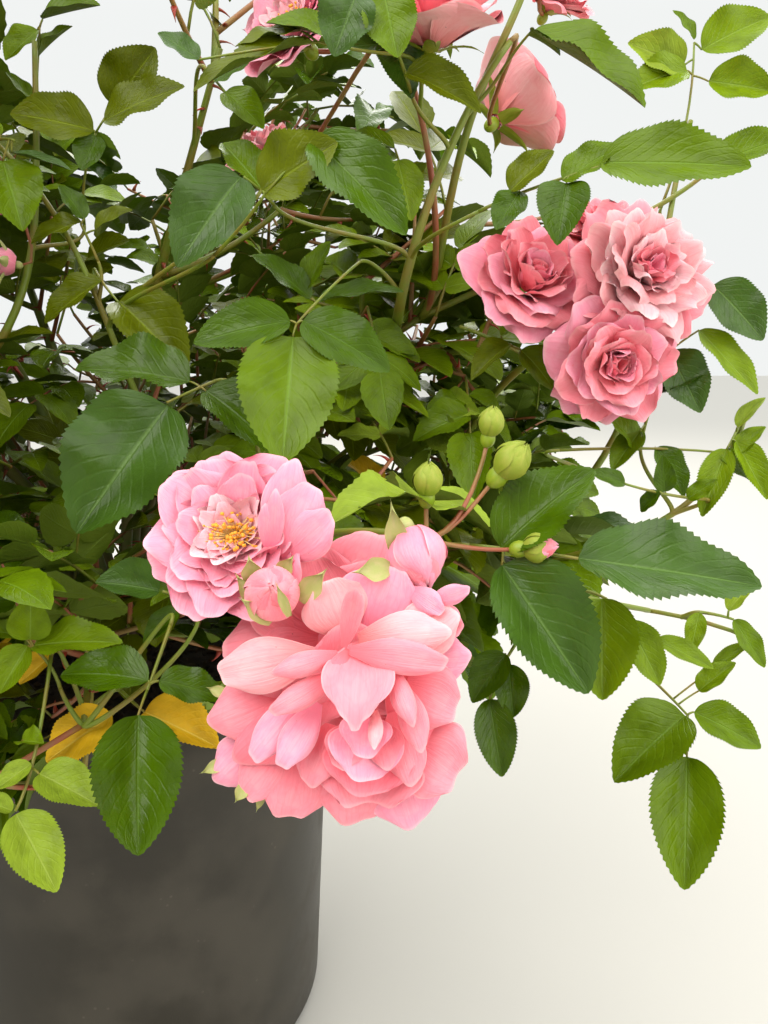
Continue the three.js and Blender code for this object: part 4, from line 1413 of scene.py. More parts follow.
def petal_materials(settings):
    pink, salmon = list(settings.pink), list(settings.salmon)
    pale, coral = list(settings.pale), list(settings.coral)
    faded = [0.97, 0.40, 0.44]
    # The second colour of each is the claw's: deeper pink, partly the petal's own base and partly painted
    # shade in the heart; yellow on the pale and cream petals.
    return [
        petal_paint("Petal_Pink", pink, [0.95, 0.24, 0.35], pale, 0.3),
        petal_paint("Petal_Salmon", salmon, [0.88, 0.13, 0.15], coral, 0.35),
        petal_paint("Petal_Pale", pale, [0.96, 0.72, 0.55], [0.98, 0.74, 0.74], 0.5),
        petal_paint("Petal_Cream", [0.97, 0.47, 0.54], [0.99, 0.86, 0.58], [0.97, 0.62, 0.66], 0.35),
        petal_paint("Petal_Coral", coral, [0.92, 0.16, 0.2], faded, 0.35),
        petal_paint("Petal_Faded", faded, [0.94, 0.25, 0.25], [0.97, 0.55, 0.56], 0.4),
    ]


def green_materials(settings):
    green, red = list(settings.green), list(settings.red)
    return [
        skin_paint("Stalk_Green", [0.17, 0.23, 0.018], [0.25, 0.17, 0.025], 0.45, 90.0),
        skin_paint("Stalk_Red", [0.33, 0.09, 0.04], [0.27, 0.2, 0.05], 0.45, 70.0),
        skin_paint("Cane_Skin", green, [0.2, 0.13, 0.04], 0.5, 55.0),
        skin_paint("Prickle_Skin", red, [0.42, 0.02, 0.015], 0.35, 120.0),
        skin_paint("Sepal_Skin", [0.25, 0.32, 0.018], [0.33, 0.35, 0.04], 0.6, 3.0, by_pattern=True),
        skin_paint("Hip_Skin", [0.24, 0.34, 0.014], [0.3, 0.36, 0.03], 0.4, 3.0, by_pattern=True),
        skin_paint("Sepal_Pale", [0.40, 0.44, 0.13], [0.5, 0.45, 0.2], 0.6, 3.0, by_pattern=True),
    ]


def stamen_materials(settings):
    return [
        skin_paint("Anther", list(settings.anther), [0.85, 0.3, 0.01], 0.7, 4.0, by_pattern=True),
        skin_paint("Filament", [0.9, 0.7, 0.25], [0.9, 0.55, 0.3], 0.6, 4.0, by_pattern=True),
    ]


# Flowers
def put_roses(where, petals, greens, threads, scene):
    """Makes pieces of the heaps of petals, of stalks and sepals, and of stamens if there are any."""
    petals.piece(f"{where}_petals", petal_materials(scene.rose_blooms), "rose_leaf")
    greens.piece(f"{where}_sepals", green_materials(scene.rose_canes), "rose_leaf")
    if threads.parts:
        threads.piece(f"{where}_stamens", stamen_materials(scene.rose_blooms), "rose_leaf")


def lay_petal(heap, sheet, centre, axis, azimuth, base, slot, points):
    """One petal of a flower: base is how far out and how high its claw stands from the centre."""
    points = points.copy()
    points[:, 0] += base[0]
    points[:, 2] += base[1]
    heap.add(sheet, on_axis(turned_about(points, azimuth), centre, axis), slot)


# For each kind of rose, its rings of petals from the outside in: how many, length and width as shares of the
# radius, lean at the claw and at the tip in degrees, cup, roll, ruffle, base reach and height, slot from pink
# to faded.
BLOOMS = {
    "open": (
        (8, 0.98, 0.94, 60, 86, 0.22, 0.20, 0.45, 0.06, -0.38, 0),
        (9, 0.93, 0.84, 52, 76, 0.28, 0.12, 0.5, 0.06, -0.35, 0),
        (8, 0.84, 0.72, 46, 68, 0.32, 0.05, 0.55, 0.05, -0.32, 0),
        (8, 0.74, 0.58, 40, 58, 0.40, 0.00, 0.6, 0.05, -0.30, 0),
        (7, 0.60, 0.42, 34, 52, 0.45, 0.05, 0.8, 0.05, -0.28, 2),
        (8, 0.46, 0.32, 34, 58, 0.50, 0.25, 0.9, 0.05, -0.20, 3),
        (6, 0.28, 0.20, 26, 44, 0.55, 0.30, 0.9, 0.03, -0.17, 3),
    ),
    "under": (
        (8, 1.00, 0.92, 66, 96, 0.15, 0.35, 0.5, 0.06, -0.42, 4),
        (8, 0.94, 0.86, 62, 88, 0.20, 0.35, 0.5, 0.06, -0.40, 4),
        (7, 0.80, 0.80, 56, 76, 0.24, 0.30, 0.5, 0.05, -0.38, 4),
    ),
    "smooth": (
        (5, 1.00, 1.34, 54, 80, 0.34, 0.00, 0.15, 0.06, -0.40, 5),
        (5, 0.95, 1.20, 46, 66, 0.36, 0.00, 0.2, 0.06, -0.36, 4),
        (5, 0.84, 1.00, 36, 44, 0.40, 0.10, 0.3, 0.05, -0.31, 5),
        (5, 0.66, 0.74, 24, 26, 0.46, 0.20, 0.5, 0.04, -0.24, 4),
        (5, 0.46, 0.50, 14, 10, 0.55, 0.20, 0.7, 0.03, -0.14, 4),
    ),
    "loose": (
        (7, 1.00, 1.00, 66, 98, 0.18, 0.50, 0.5, 0.06, -0.40, 4),
        (8, 0.94, 0.86, 56, 82, 0.22, 0.55, 0.6, 0.06, -0.36, 4),
        (8, 0.86, 0.74, 44, 62, 0.26, 0.65, 0.7, 0.05, -0.33, 5),
        (7, 0.78, 0.64, 34, 46, 0.32, 0.60, 0.7, 0.05, -0.30, 4),
        (6, 0.66, 0.54, 24, 34, 0.42, 0.45, 0.8, 0.04, -0.24, 4),
        (5, 0.52, 0.46, 16, 18, 0.50, 0.30, 0.8, 0.03, -0.18, 1),
        (5, 0.36, 0.38, 10, 6, 0.60, 0.10, 0.8, 0.03, -0.10, 4),
    ),
    "cupped": (
        (7, 0.98, 1.02, 62, 94, 0.20, 0.40, 0.6, 0.06, -0.40, 0),
        (7, 0.94, 0.92, 54, 76, 0.26, 0.40, 0.7, 0.06, -0.37, 4),
        (7, 0.88, 0.84, 44, 58, 0.30, 0.45, 0.7, 0.05, -0.34, 0),
        (6, 0.80, 0.76, 34, 42, 0.36, 0.45, 0.7, 0.05, -0.31, 4),
        (6, 0.68, 0.66, 28, 32, 0.46, 0.35, 0.7, 0.04, -0.24, 4),
        (5, 0.54, 0.58, 20, 18, 0.55, 0.20, 0.7, 0.03, -0.18, 0),
        (5, 0.38, 0.44, 12, 4, 0.65, 0.10, 0.7, 0.03, -0.10, 4),
    ),
    "ruffled": (
        (8, 1.00, 0.90, 62, 94, 0.18, 0.50, 0.8, 0.06, -0.40, 4),
        (8, 0.93, 0.80, 54, 76, 0.20, 0.65, 0.9, 0.06, -0.36, 5),
        (8, 0.87, 0.70, 44, 60, 0.22, 0.75, 0.9, 0.05, -0.33, 2),
        (8, 0.80, 0.60, 34, 47, 0.26, 0.75, 0.9, 0.05, -0.30, 5),
        (7, 0.68, 0.54, 26, 36, 0.32, 0.65, 0.9, 0.04, -0.24, 2),
        (7, 0.54, 0.46, 18, 24, 0.40, 0.50, 0.9, 0.03, -0.18, 4),
        (6, 0.38, 0.32, 10, 10, 0.55, 0.30, 1.0, 0.03, -0.10, 0),
    ),
}


def lay_bloom(petals, greens, threads, centre, axis, radius, kind, seed, sheet, stamens):
    """A whole rose with its hip and sepals."""
    number = 0
    for ring, spec in enumerate(BLOOMS[kind]):
        count, length, width, lean, tip_lean, cup, rolled, ruffle, reach, height, slot = spec
        roll = dice(seed, ring, 900)
        start = roll(0, math.tau)
        for i in range(count):
            number += 1
            lay_petal(
                petals, sheet, centre, axis, start + (i + roll(-0.22, 0.22)) * math.tau / count,
                (radius * reach, radius * height), slot,
                petal_form(
                    sheet, length=radius * length * roll(0.9, 1.08), width=radius * width * roll(0.88, 1.12),
                    lean=lean + roll(-6, 6), tip_lean=tip_lean + roll(-10, 10), cup=cup * roll(0.7, 1.3),
                    roll=rolled * roll(0.5, 1.3), ruffle=ruffle * roll(0.6, 1.4), phase=roll(0, math.tau),
                    skew=roll(-0.07, 0.07), notch=roll(0, 0.05),
                ),
            )
    wide = radius * (0.2 if kind == "open" else 0.13)
    seat = HIP_BALL.points * (wide, wide, radius * 0.1) - (0, 0, radius * (0.18 if kind == "open" else 0.16))
    petals.add(HIP_BALL, on_axis(seat, centre, axis), PETAL_CREAM if kind == "open" else PETAL_SALMON)
    if kind == "open":
        roll = dice(seed, 77)
        for i in range(stamens):
            turn, spread = i * GOLDEN_ANGLE, roll(0.05, 0.3)
            out = turned_about(np.array([[1.0, 0, 0]]), turn)[0]
            tip = np.array([out[0] * spread * 1.35, out[1] * spread * 0.8, roll(-0.04, 0.12)]) * radius
            root = np.array([out[0] * 0.04, out[1] * 0.04, -0.16]) * radius
            ends = on_axis(np.array([root, tip]), centre, axis)
            thread = arch(ends[0], axis, ends[1])
            threads.add(THREAD_TUBE, bent_tube(THREAD_TUBE, thread, lambda share: 0.16), 1)
            size = roll(0.3, 0.55)
            threads.add(ANTHER_BALL, ends[1] + ANTHER_BALL.points * (size * 1.3, size * 0.8, size), 0)
    lay_calyx(greens, centre, axis, radius, seed, -0.42, 84 + 20 * dice(seed, 5)(0, 1), 0.62)


def lay_calyx(greens, centre, axis, radius, seed, height, lean, length):
    """The hip under a flower and its five pointed sepals."""
    size = max(2.1, radius * 0.115)
    hip = HIP_BALL.points * (size, size, size * 1.25)
    hip[:, 2] += radius * height - size * 0.9
    greens.add(HIP_BALL, on_axis(hip, centre, axis), HIP_GREEN)
    for i in range(5):
        roll = dice(seed, 50, i)
        points = petal_form(
            SEPAL, length=radius * length * roll(0.9, 1.2), width=radius * length * 0.42, lean=lean - 30,
            tip_lean=lean + roll(-15, 25), cup=0.35, roll=0.1, ruffle=0.3, phase=roll(0, 6), claw=0.8)
        u = SEPAL.points[:, 0]
        points[:, 1] *= np.clip(1.06 - u**1.6, 0.04, 1)
        points[:, 0] += size * 0.7
        points[:, 2] += radius * height - size * 0.2
        points = turned_about(points, (i + roll(-0.1, 0.1)) * math.tau / 5)
        greens.add(SEPAL, on_axis(points, centre, axis), SEPAL_GREEN)


PINK_BUDS = ("pink_bud", "bare_bud", "round_bud")


def lay_bud(petals, greens, centre, axis, radius, kind, seed, sheet):
    """A bud: closed and green, just showing its petals, or half open in its five sepals."""
    pink = kind in PINK_BUDS
    length = radius * (2.05 if pink else 2.3)
    slots = (PETAL_PINK, PETAL_CORAL, PETAL_PINK)
    if kind == "round_bud":
        slots = (PETAL_CORAL, PETAL_SALMON, PETAL_CORAL)
    if kind != "bud":
        for ring, (count, share, spread) in enumerate(((5, 1.0, 1.0), (4, 0.93, 1.1), (3, 0.8, 1.3))):
            roll = dice(seed, ring, 31)
            girth = radius * share * (1 if pink else 0.9)
            for i in range(count):
                gape = roll(0, 0.12) if pink and ring == 0 else 0
                wrap = wrapped_form(sheet, girth, length * (0.92 + 0.04 * ring), spread, 0.07, gape)
                turn = (i + roll(-0.15, 0.15)) * math.tau / count + ring
                lay_petal(petals, sheet, centre, axis, turn, (0, -length * 0.45), slots[ring], wrap)
        core = HIP_BALL.points * (radius * 0.8, radius * 0.8, length * 0.42) + (0, 0, length * 0.05)
        petals.add(HIP_BALL, on_axis(core, centre, axis), PETAL_CORAL)
    for i in range(0 if kind in ("bare_bud", "round_bud") else 5):
        roll = dice(seed, 60, i)
        u = SEPAL.points[:, 0]
        if pink:
            points = petal_form(
                SEPAL, length=radius * roll(1.7, 2.1), width=radius * roll(0.85, 1.05), lean=56 + roll(-8, 8),
                tip_lean=40 + roll(-30, 60), cup=0.5, roll=0.0, ruffle=0.35, phase=roll(0, 6), claw=0.9)
            points[:, 1] *= np.clip(1.05 - u**2.4, 0.03, 1)
            points[:, 2] -= length * 0.4
            points[:, 0] += radius * 0.3
        else:
            cover = 1.0 if kind == "bud" else 0.86
            points = wrapped_form(SEPAL, radius * 1.04, length * cover, 0.8, 0.05, 0)
            points[:, 1] *= np.clip(1.1 - u**3, 0.1, 1)
            points[:, 2] -= length * 0.45
        greens.add(SEPAL, on_axis(turned_about(points, (i + 0.5) * math.tau / 5), centre, axis),
                   SEPAL_PALE if pink else SEPAL_GREEN)
    if kind == "bud":
        globe = HIP_BALL.points * (radius * 0.93, radius * 0.93, length * 0.46)
        greens.add(HIP_BALL, on_axis(globe, centre, axis), SEPAL_GREEN)
    size = radius * (0.3 if pink else 0.6)
    hip = HIP_BALL.points * (size, size, size * 1.25)
    hip[:, 2] -= length * 0.45 + size * 0.55
    greens.add(HIP_BALL, on_axis(hip, centre, axis), SEPAL_PALE if pink else HIP_GREEN)


def stalk_curve(curve, share, centre, axis, sink):
    start = point_on(curve, share)
    root = centre + axis * sink
    span = np.linalg.norm(root - start)
    return (start, start + tangent_on(curve, share) * span * 0.4, root - axis * span * 0.35, root)


# Leaves
def lay_leaf(leaves, twigs, leaf, size):
    """A compound leaf: a stalk with two or three pairs of leaflets and one at its end."""
    roll = leaf.roll
    slot = tint_for(roll, leaf.root)
    along, face, scale = leaf.along, leaf.face, leaf.scale
    length = (44 if leaf.pairs == 2 else 56) * scale
    end = leaf.root + along * length - face * length * roll(0.04, 0.22)
    rachis = arch(leaf.root, unit(along + face * 0.12), end)
    skin = STALK_GREEN if roll(0, 1) < 0.7 else STALK_RED
    twigs.add(RACHIS_TUBE, bent_tube(RACHIS_TUBE, rachis, taper(0.62, 0.42)), skin)
    inner = outline(np.array([leaf.root]))[0] < 0.4
    sheet = PLAIN_LEAFLET if inner else FINE_LEAFLET
    forms = PLAIN_FORMS if inner else LEAFLET_FORMS
    blade = size * scale
    shares = (0.42, 0.74) if leaf.pairs == 2 else (0.3, 0.55, 0.8)
    for step, share in enumerate(shares):
        for side in (-1, 1):
            at = point_on(rachis, share + roll(-0.02, 0.02))
            forward = tangent_on(rachis, share)
            up = unit(square_to(forward, face))
            across = np.cross(up, forward)
            angle = math.radians(roll(52, 72)) * side
            out = unit(forward * math.cos(angle) + across * math.sin(angle) + up * roll(-0.3, 0.12))
            normal = unit(up + across * side * roll(-0.45, 0.25) + forward * roll(-0.3, 0.3))
            normal = unit(square_to(out, normal))
            large = blade * (0.72 + 0.16 * step / (len(shares) - 1)) * roll(0.92, 1.08)
            form = forms[int(roll(0, len(forms) - 0.01))]
            leaves.add(sheet, in_frame(form * large, at, out, normal), slot)
    forward = tangent_on(rachis, 1)
    normal = unit(face + np.cross(face, forward) * roll(-0.35, 0.35))
    normal = unit(square_to(forward, normal))
    form = forms[int(roll(0, len(forms) - 0.01))]
    leaves.add(sheet, in_frame(form * blade * roll(0.98, 1.12), end, forward, normal), slot)


def nearest_limb(point, enter, stems=()):
    """The best point on any stem or cane for a spray to grow from, the way that limb runs, and its mass. A
    near point that the spray leads away from is best."""
    best = None
    limbs = [(curve, mass) for mass in MASSES for curve in (mass.shown_stem, mass.cane)]
    for curve, mass in limbs + list(stems):
        for share in np.linspace(0.1 if curve is mass.shown_stem else 0.3, 1, 12):
            place = point_on(curve, share)
            span = point - place
            away = np.linalg.norm(span) * (1.5 - 0.5 * np.dot(unit(span), enter)) + 4 * max(0, 12 - span[2])
            if best is None or away < best[0]:
                best = (away, place, tangent_on(curve, share), mass)
    return best[1:]


def limb_to(points):
    """A curve from the nearest limb through the points, and the mass that the limb carries."""
    spine = [seen_at(point) for point in points]
    enter = unit(spine[1] - spine[0])
    root, leave, mass = nearest_limb(spine[0], enter)
    span = np.linalg.norm(spine[0] - root)
    if span > 4:
        spine = [root, root + leave * min(span * 0.2, 12), spine[0] - enter * min(span * 0.2, 12)] + spine
    return tuple(spine), mass


def placed_stems():
    """The placed stems that show in front, each as a curve and its mass."""
    return [limb_to(row[0]) for row in SHOWN_STEMS]


def facing_view(root, forward):
    """The way that a petal or sepal faces, square to its own run and towards the viewer."""
    return unit(square_to(forward, unit(VIEW_POINT - root)))


def lay_shown_petal(heap, root, tip, width, bend, cup, rolled, point, slot):
    """A listed petal, its face to the viewer."""
    width = close_width(width, root, tip)
    root, tip = seen_close(root), seen_close(tip)
    forward = unit(tip - root)
    roll = dice(int(abs(tip[0]) * 9), int(abs(tip[2]) * 7))
    form = petal_form(
        PLACED_PETAL, length=np.linalg.norm(tip - root) * 1.04, width=width, lean=90 - bend * 0.5,
        tip_lean=90 + bend * 0.5, cup=cup, roll=rolled, ruffle=0.5, phase=roll(0, 6), claw=0.22,
        skew=roll(-0.05, 0.05), notch=-point)
    heap.add(PLACED_PETAL, in_frame(form, root, forward, facing_view(root, forward)), slot)


def lay_shown_sepal(heap, root, tip, width):
    """A listed sepal, its hollow face to the viewer."""
    width = close_width(width, root, tip)
    root, tip = seen_close(root), seen_close(tip)
    forward = unit(tip - root)
    form = petal_form(
        WIDE_SEPAL, length=np.linalg.norm(tip - root), width=width, lean=80, tip_lean=96, cup=0.45, roll=0,
        ruffle=0.3, phase=width, claw=0.7)
    u = WIDE_SEPAL.points[:, 0]
    form[:, 1] *= np.clip(1.12 - np.abs(u - 0.35) ** 1.5 * 2.1, 0.03, 1)
    heap.add(WIDE_SEPAL, in_frame(form, root, forward, facing_view(root, forward)), SEPAL_PALE)


def lay_shown_spray(heaps, twigs, stems, spine, leaflets):
    """A listed spray, on a stalk that grows from the nearest limb."""
    rachis = tuple(seen_at(point) for point in spine)
    enter = unit(rachis[1] - rachis[0])
    root, leave, mass = nearest_limb(rachis[0], enter, stems)
    span = np.linalg.norm(rachis[0] - root)
    stalk = (root, root + leave * min(span * 0.2, 12), rachis[0] - enter * min(span * 0.45, 18), rachis[0])
    twigs.add(STEM_TUBE, bent_tube(STEM_TUBE, stalk, taper(0.95, 0.62)), STALK_GREEN)
    twigs.add(TWIG_TUBE, bent_tube(TWIG_TUBE, rachis, taper(0.62, 0.42)), STALK_GREEN)
    for number, (base, tip, width, openness, tint) in enumerate(leaflets):
        base, tip = seen_at(base), seen_at(tip)
        forward = unit(tip - base)
        facing = unit(VIEW_POINT - base) * openness + UP * (1 - openness * 0.6)
        normal = unit(square_to(forward, facing))
        spots = [point_on(rachis, share) for share in np.linspace(0.2, 1, 9)]
        joint = min(spots, key=lambda spot: np.linalg.norm(spot - base))
        if np.linalg.norm(joint - base) > 1:
            link = (joint, (joint + base) / 2 + UP * 0.5, base)
            twigs.add(RACHIS_TUBE, bent_tube(RACHIS_TUBE, link, taper(0.45, 0.35)), STALK_GREEN)
        seed = dice(number, int(abs(base[0])), int(abs(base[2])))
        fold, curl, wave = seed(0.16, 0.44), seed(0.02, 0.2), seed(0.05, 0.16)
        form = leaflet_form(HERO_LEAFLET, width * 1.06, fold, curl, wave, 0.027, seed(0, 6))
        form = form * np.linalg.norm(tip - base)
        heaps[mass.tier].add(HERO_LEAFLET, in_frame(form, base, forward, normal), tint)


# Operators
class ROSE_OT_pot(bpy.types.Operator):
    """Spin the nursery pot, with its rim band, chamfered foot and drain holes"""

    bl_idname = "rose.pot"
    bl_label = "Pot"

    def execute(self, context):
        settings = context.scene.rose_pot
        wall = settings.wall / MM
        top, shoulder, floor = POT["height"], POT["height"] - POT["band"], POT["floor"]
        rim, band = wall_at(top), wall_at(top) + POT["band_out"]
        profile = [(0, 0), (60, 0), (POT["base"] - 4, 0), (POT["base"] - 1.6, 1.2)]
        profile += [(wall_at(z), z) for z in (4, 40, 100, 160, shoulder)]
        profile += [
            (wall_at(shoulder) + 1.6, shoulder + 0.7), (wall_at(shoulder) + POT["band_out"], shoulder + 2.4),
            (band, top - 1.6), (band - 0.6, top - 0.4), (band - 1.6, top), (rim - wall + 1.2, top),
            (rim - wall, top - 1.2),
        ]
        profile += [(wall_at(z) - wall, z) for z in (160, 60, floor)]
        profile += [(60, floor), (0, floor)]
        pot = in_scene("pot_shell", mesh_of("pot_shell", spun(profile, settings.sides)))
        drill = bmesh.new()
        for i in range(POT["drains"]):
            turn = i / POT["drains"] * math.tau
            place = Matrix.Rotation(turn, 4, "Z") @ Matrix.Translation((POT["drain_ring"] * MM, 0, 0))
            bmesh.ops.create_cone(drill, cap_ends=True, segments=24, radius1=POT["drain"] * MM,
                                  radius2=POT["drain"] * MM, depth=0.012, matrix=place)
        cutter = in_scene("drain_drill", mesh_of("drain_drill", drill))
        cut = pot.modifiers.new("Drains", "BOOLEAN")
        cut.operation = "DIFFERENCE"
        cut.solver = "EXACT"
        cut.object = cutter
        context.view_layer.update()
        done = bpy.data.meshes.new_from_object(pot.evaluated_get(context.evaluated_depsgraph_get()))
        bpy.data.objects.remove(cutter)
        bpy.data.objects.remove(pot)
        for polygon in done.polygons:
            polygon.use_smooth = abs(polygon.normal.z) < 0.9
        done.materials.clear()
        done.materials.append(plastic_paint("Pot_Plastic", settings.plastic, settings.dust))
        show("pot_body", done, ["pot"])
        return {"FINISHED"}


class ROSE_OT_compost(bpy.types.Operator):
    """Spin the domed compost and scatter crumbs and bark chips over it"""

    bl_idname = "rose.compost"
    bl_label = "Compost"

    def execute(self, context):
        settings = context.scene.rose_compost
        edge, level, plateau, bottom = SOIL["edge"], SOIL["level"], SOIL["plateau"], POT["floor"] + GAP
        inner = lambda z: wall_at(z) - POT["wall"] - GAP
        profile = [(0, bottom)] + [(inner(z), z) for z in (bottom, 90, 180, edge)]
        for share in np.linspace(0.1, 1, 10):
            profile.append((inner(edge) + (plateau - inner(edge)) * share, edge + (level - edge) * share))
        profile += [(20, level), (10, level), (0, level)]
        bm = spun(profile, 72)
        for vert in bm.verts:
            if vert.co.z > (edge - 0.5) * MM and vert.co.xy.length < (inner(edge) - 3) * MM:
                vert.co.z += 0.0016 * noise.noise(vert.co * 90) + 0.0011 * noise.noise(vert.co * 260)
        mesh = mesh_of("compost_bed", bm)
        for polygon in mesh.polygons:
            polygon.use_smooth = True
        mesh.materials.append(crumbly_paint("Compost_Bed", settings.soil))
        show("compost_bed", mesh, ["compost"])
        heap = Heap()
        for i in range(settings.crumbs):
            roll = dice(i, 8)
            reach, turn = math.sqrt(roll(0.015, 1)) * POT["base"], roll(0, math.tau)
            height = level - (level - edge) * max(0, (reach - plateau) / SOIL["fall"])
            size = roll(0.8, 2.4)
            spin = np.array(Matrix.Rotation(roll(0, 6), 3, "Z") @ Matrix.Rotation(roll(-0.5, 0.5), 3, "X"))
            stretch = (roll(1.0, 3.0), 1.0, roll(0.4, 0.8)) if i % 4 == 0 else (1, 1, 0.8)
            points = (CRUMB.points * size * stretch) @ spin.T
            place = (reach * math.cos(turn), reach * math.sin(turn), height + size * 0.2)
            heap.add(CRUMB, points + place, i % 3)
        paints = [
            crumbly_paint("Crumb_Dark", [c * 0.7 for c in settings.soil]),
            crumbly_paint("Crumb_Brown", [c * 1.6 for c in settings.soil]),
            crumbly_paint("Crumb_Bark", [0.11, 0.06, 0.03]),
        ]
        heap.piece("compost_crumbs", paints, "moist_compost")
        return {"FINISHED"}


class ROSE_OT_foot(bpy.types.Operator):
    """Lay the woody foot with its fissured bark"""

    bl_idname = "rose.foot"
    bl_label = "Woody foot"

    def execute(self, context):
        tube = tube_shape(40, 48)
        curve = foot_curve()
        points = bent_tube(tube, curve, foot_radius)
        heap = Heap()
        centre = np.array([point_on(curve, s) for s in tube.points[:, 2]])
        out = points - centre
        for i, (place, away) in enumerate(zip(points, out)):
            turn = math.atan2(away[1], away[0])
            ridge = abs(noise.noise(Vector((turn * 3.2, turn * 1.1, place[2] * 0.07)))) * 1.5
            points[i] = place + unit(away) * (0.5 - ridge) * (0.2 < np.linalg.norm(away))
        points[:, 2] = np.maximum(points[:, 2], SOIL["level"] + GAP - 1.5)
        heap.add(tube, points)
        bark = bark_paint("Foot_Bark", (0.2, 0.14, 0.085), (0.075, 0.05, 0.03), (0.3, 0.26, 0.19))
        heap.piece("woody_foot_bark", [bark], "bark", ["woody_foot"])
        return {"FINISHED"}


class ROSE_OT_canes(bpy.types.Operator):
    """Lay the arching canes with their joints and curved red prickles"""

    bl_idname = "rose.canes"
    bl_label = "Canes"

    def execute(self, context):
        settings = context.scene.rose_canes
        paints = green_materials(settings)
        bush = growth()
        canes, prickles = Heap(), Heap()
        base, tip = settings.base_radius / MM, settings.tip_radius / MM
        for mass in MASSES:
            roll = dice(mass.number, 600)
            joints = np.array([roll(0.1, 0.25) + 0.2 * k for k in range(5)])

            def girth(share):
                knots = 0.45 * np.exp(-(((share - joints) / 0.012) ** 2)).sum()
                return base + (tip - base) * share + knots

            canes.add(CANE_TUBE, bent_tube(CANE_TUBE, mass.cane, girth), CANE_SKIN)
            self.arm(prickles, mass.cane, taper(base, tip), 9, mass.number, settings)
            stem = mass.shown_stem
            self.arm(prickles, stem, lambda share: STEM_RADII[0] - share, 7, mass.number + 40, settings)
        canes.piece("cane_skins", paints, "green_cane", [f"cane_{mass.name}" for mass in MASSES])
        for index, (curve, _, _, mass) in enumerate(bush.twigs):
            self.arm(prickles, curve, lambda share: 1.2, 2, index + 100, settings)
        prickles.piece("prickles", paints, "green_cane")
        return {"FINISHED"}

    def arm(self, heap, curve, girth, count, seed, settings):
        """Set curved prickles along a limb, each hooked towards its root."""
        roll = dice(seed, 610)
        for i in range(count):
            share = roll(0.05, 0.98)
            axis = tangent_on(curve, share)
            out = radial_at(axis, roll(0, math.tau))
            length = settings.prickle / MM * roll(0.6, 1.1)
            root = point_on(curve, share) + out * (girth(share) - 0.5)
            tip = root + out * length - axis * length * 0.35
            hook = (root, root + out * length * 0.55 + axis * length * 0.1, tip)
            points = bent_tube(PRICKLE_TUBE, hook, lambda s: 1.25 * (1 - s) ** 1.3 + 0.06, 0.5)
            heap.add(PRICKLE_TUBE, points, PRICKLE)


class ROSE_OT_foliage(bpy.types.Operator):
    """Grow the twigs and the compound leaves of every mass"""

    bl_idname = "rose.foliage"
    bl_label = "Twigs and leaves"

    def execute(self, context):
        settings = context.scene.rose_leaves
        bush = growth()
        twigs = Heap()
        paints = leaf_materials(settings)
        for curve, base, tip, _ in bush.twigs:
            skin = STALK_RED if base == TWIG_RADII[0] else STALK_GREEN
            twigs.add(TWIG_TUBE, bent_tube(TWIG_TUBE, curve, taper(base, tip)), skin)
        heaps = {tier[0]: Heap() for tier in TIERS}
        for mass in MASSES:
            for leaf in bush.leaves[mass.name]:
                lay_leaf(heaps[mass.tier], twigs, leaf, settings.leaflet / MM)
        stems = placed_stems()
        for spine, leaflets in SHOWN_SPRAYS:
            lay_shown_spray(heaps, twigs, stems, spine, leaflets)
        for tier, leaves in heaps.items():
            members = [f"foliage_{mass.name}" for mass in MASSES if mass.tier == tier]
            leaves.piece(f"leaves_{tier}", paints, "rose_leaf", members)
        twigs.piece("twigs", green_materials(context.scene.rose_canes), "rose_leaf")
        return {"FINISHED"}


class ROSE_OT_front_blooms(bpy.types.Operator):
    """Make the roses and buds that the bush carries in front"""

    bl_idname = "rose.front_blooms"
    bl_label = "Front roses and buds"

    def execute(self, context):
        settings = context.scene.rose_blooms
        petals, greens, threads = Heap(), Heap(), Heap()
        stem_ends = []
        for (_, base, tip, slot), (stem, _) in zip(SHOWN_STEMS, placed_stems()):
            greens.add(STEM_TUBE, bent_tube(STEM_TUBE, stem, taper(base * 1.15, tip)), slot)
            stem_ends.append((stem[-1], tangent_on(stem, 1)))
        for seed, (mass, at, faces, radius, kind) in enumerate(FRONT_FLOWERS):
            centre, axis = np.array(at, float), unit(np.array(faces, float))
            if "bud" in kind:
                lay_bud(petals, greens, centre, axis, radius, kind, seed, FINE_PETAL)
                sink = -radius * (1.25 if kind in PINK_BUDS else 1.7)
            else:
                sheet = FINE_PETAL if mass == "side_1" else MIDDLE_PETAL
                lay_bloom(petals, greens, threads, centre, axis, radius, kind, seed, sheet, settings.stamens)
                sink = 5 - radius * 0.62
            root = centre + axis * sink
            node, leave = min(stem_ends, key=lambda end: np.linalg.norm(end[0] - root))
            span = np.linalg.norm(root - node)
            stalk = (node, node + leave * span * 0.3, root - axis * span * 0.35, root)
            thick = 0.6 if "bud" in kind else 0.9
            greens.add(TWIG_TUBE, bent_tube(TWIG_TUBE, stalk, taper(thick * 1.1, thick)), STALK_RED)
        for row in SHOWN_PETALS:
            lay_shown_petal(petals, *row)
        for row in SHOWN_SEPALS:
            lay_shown_sepal(greens, *row)
        put_roses("front", petals, greens, threads, context.scene)
        return {"FINISHED"}


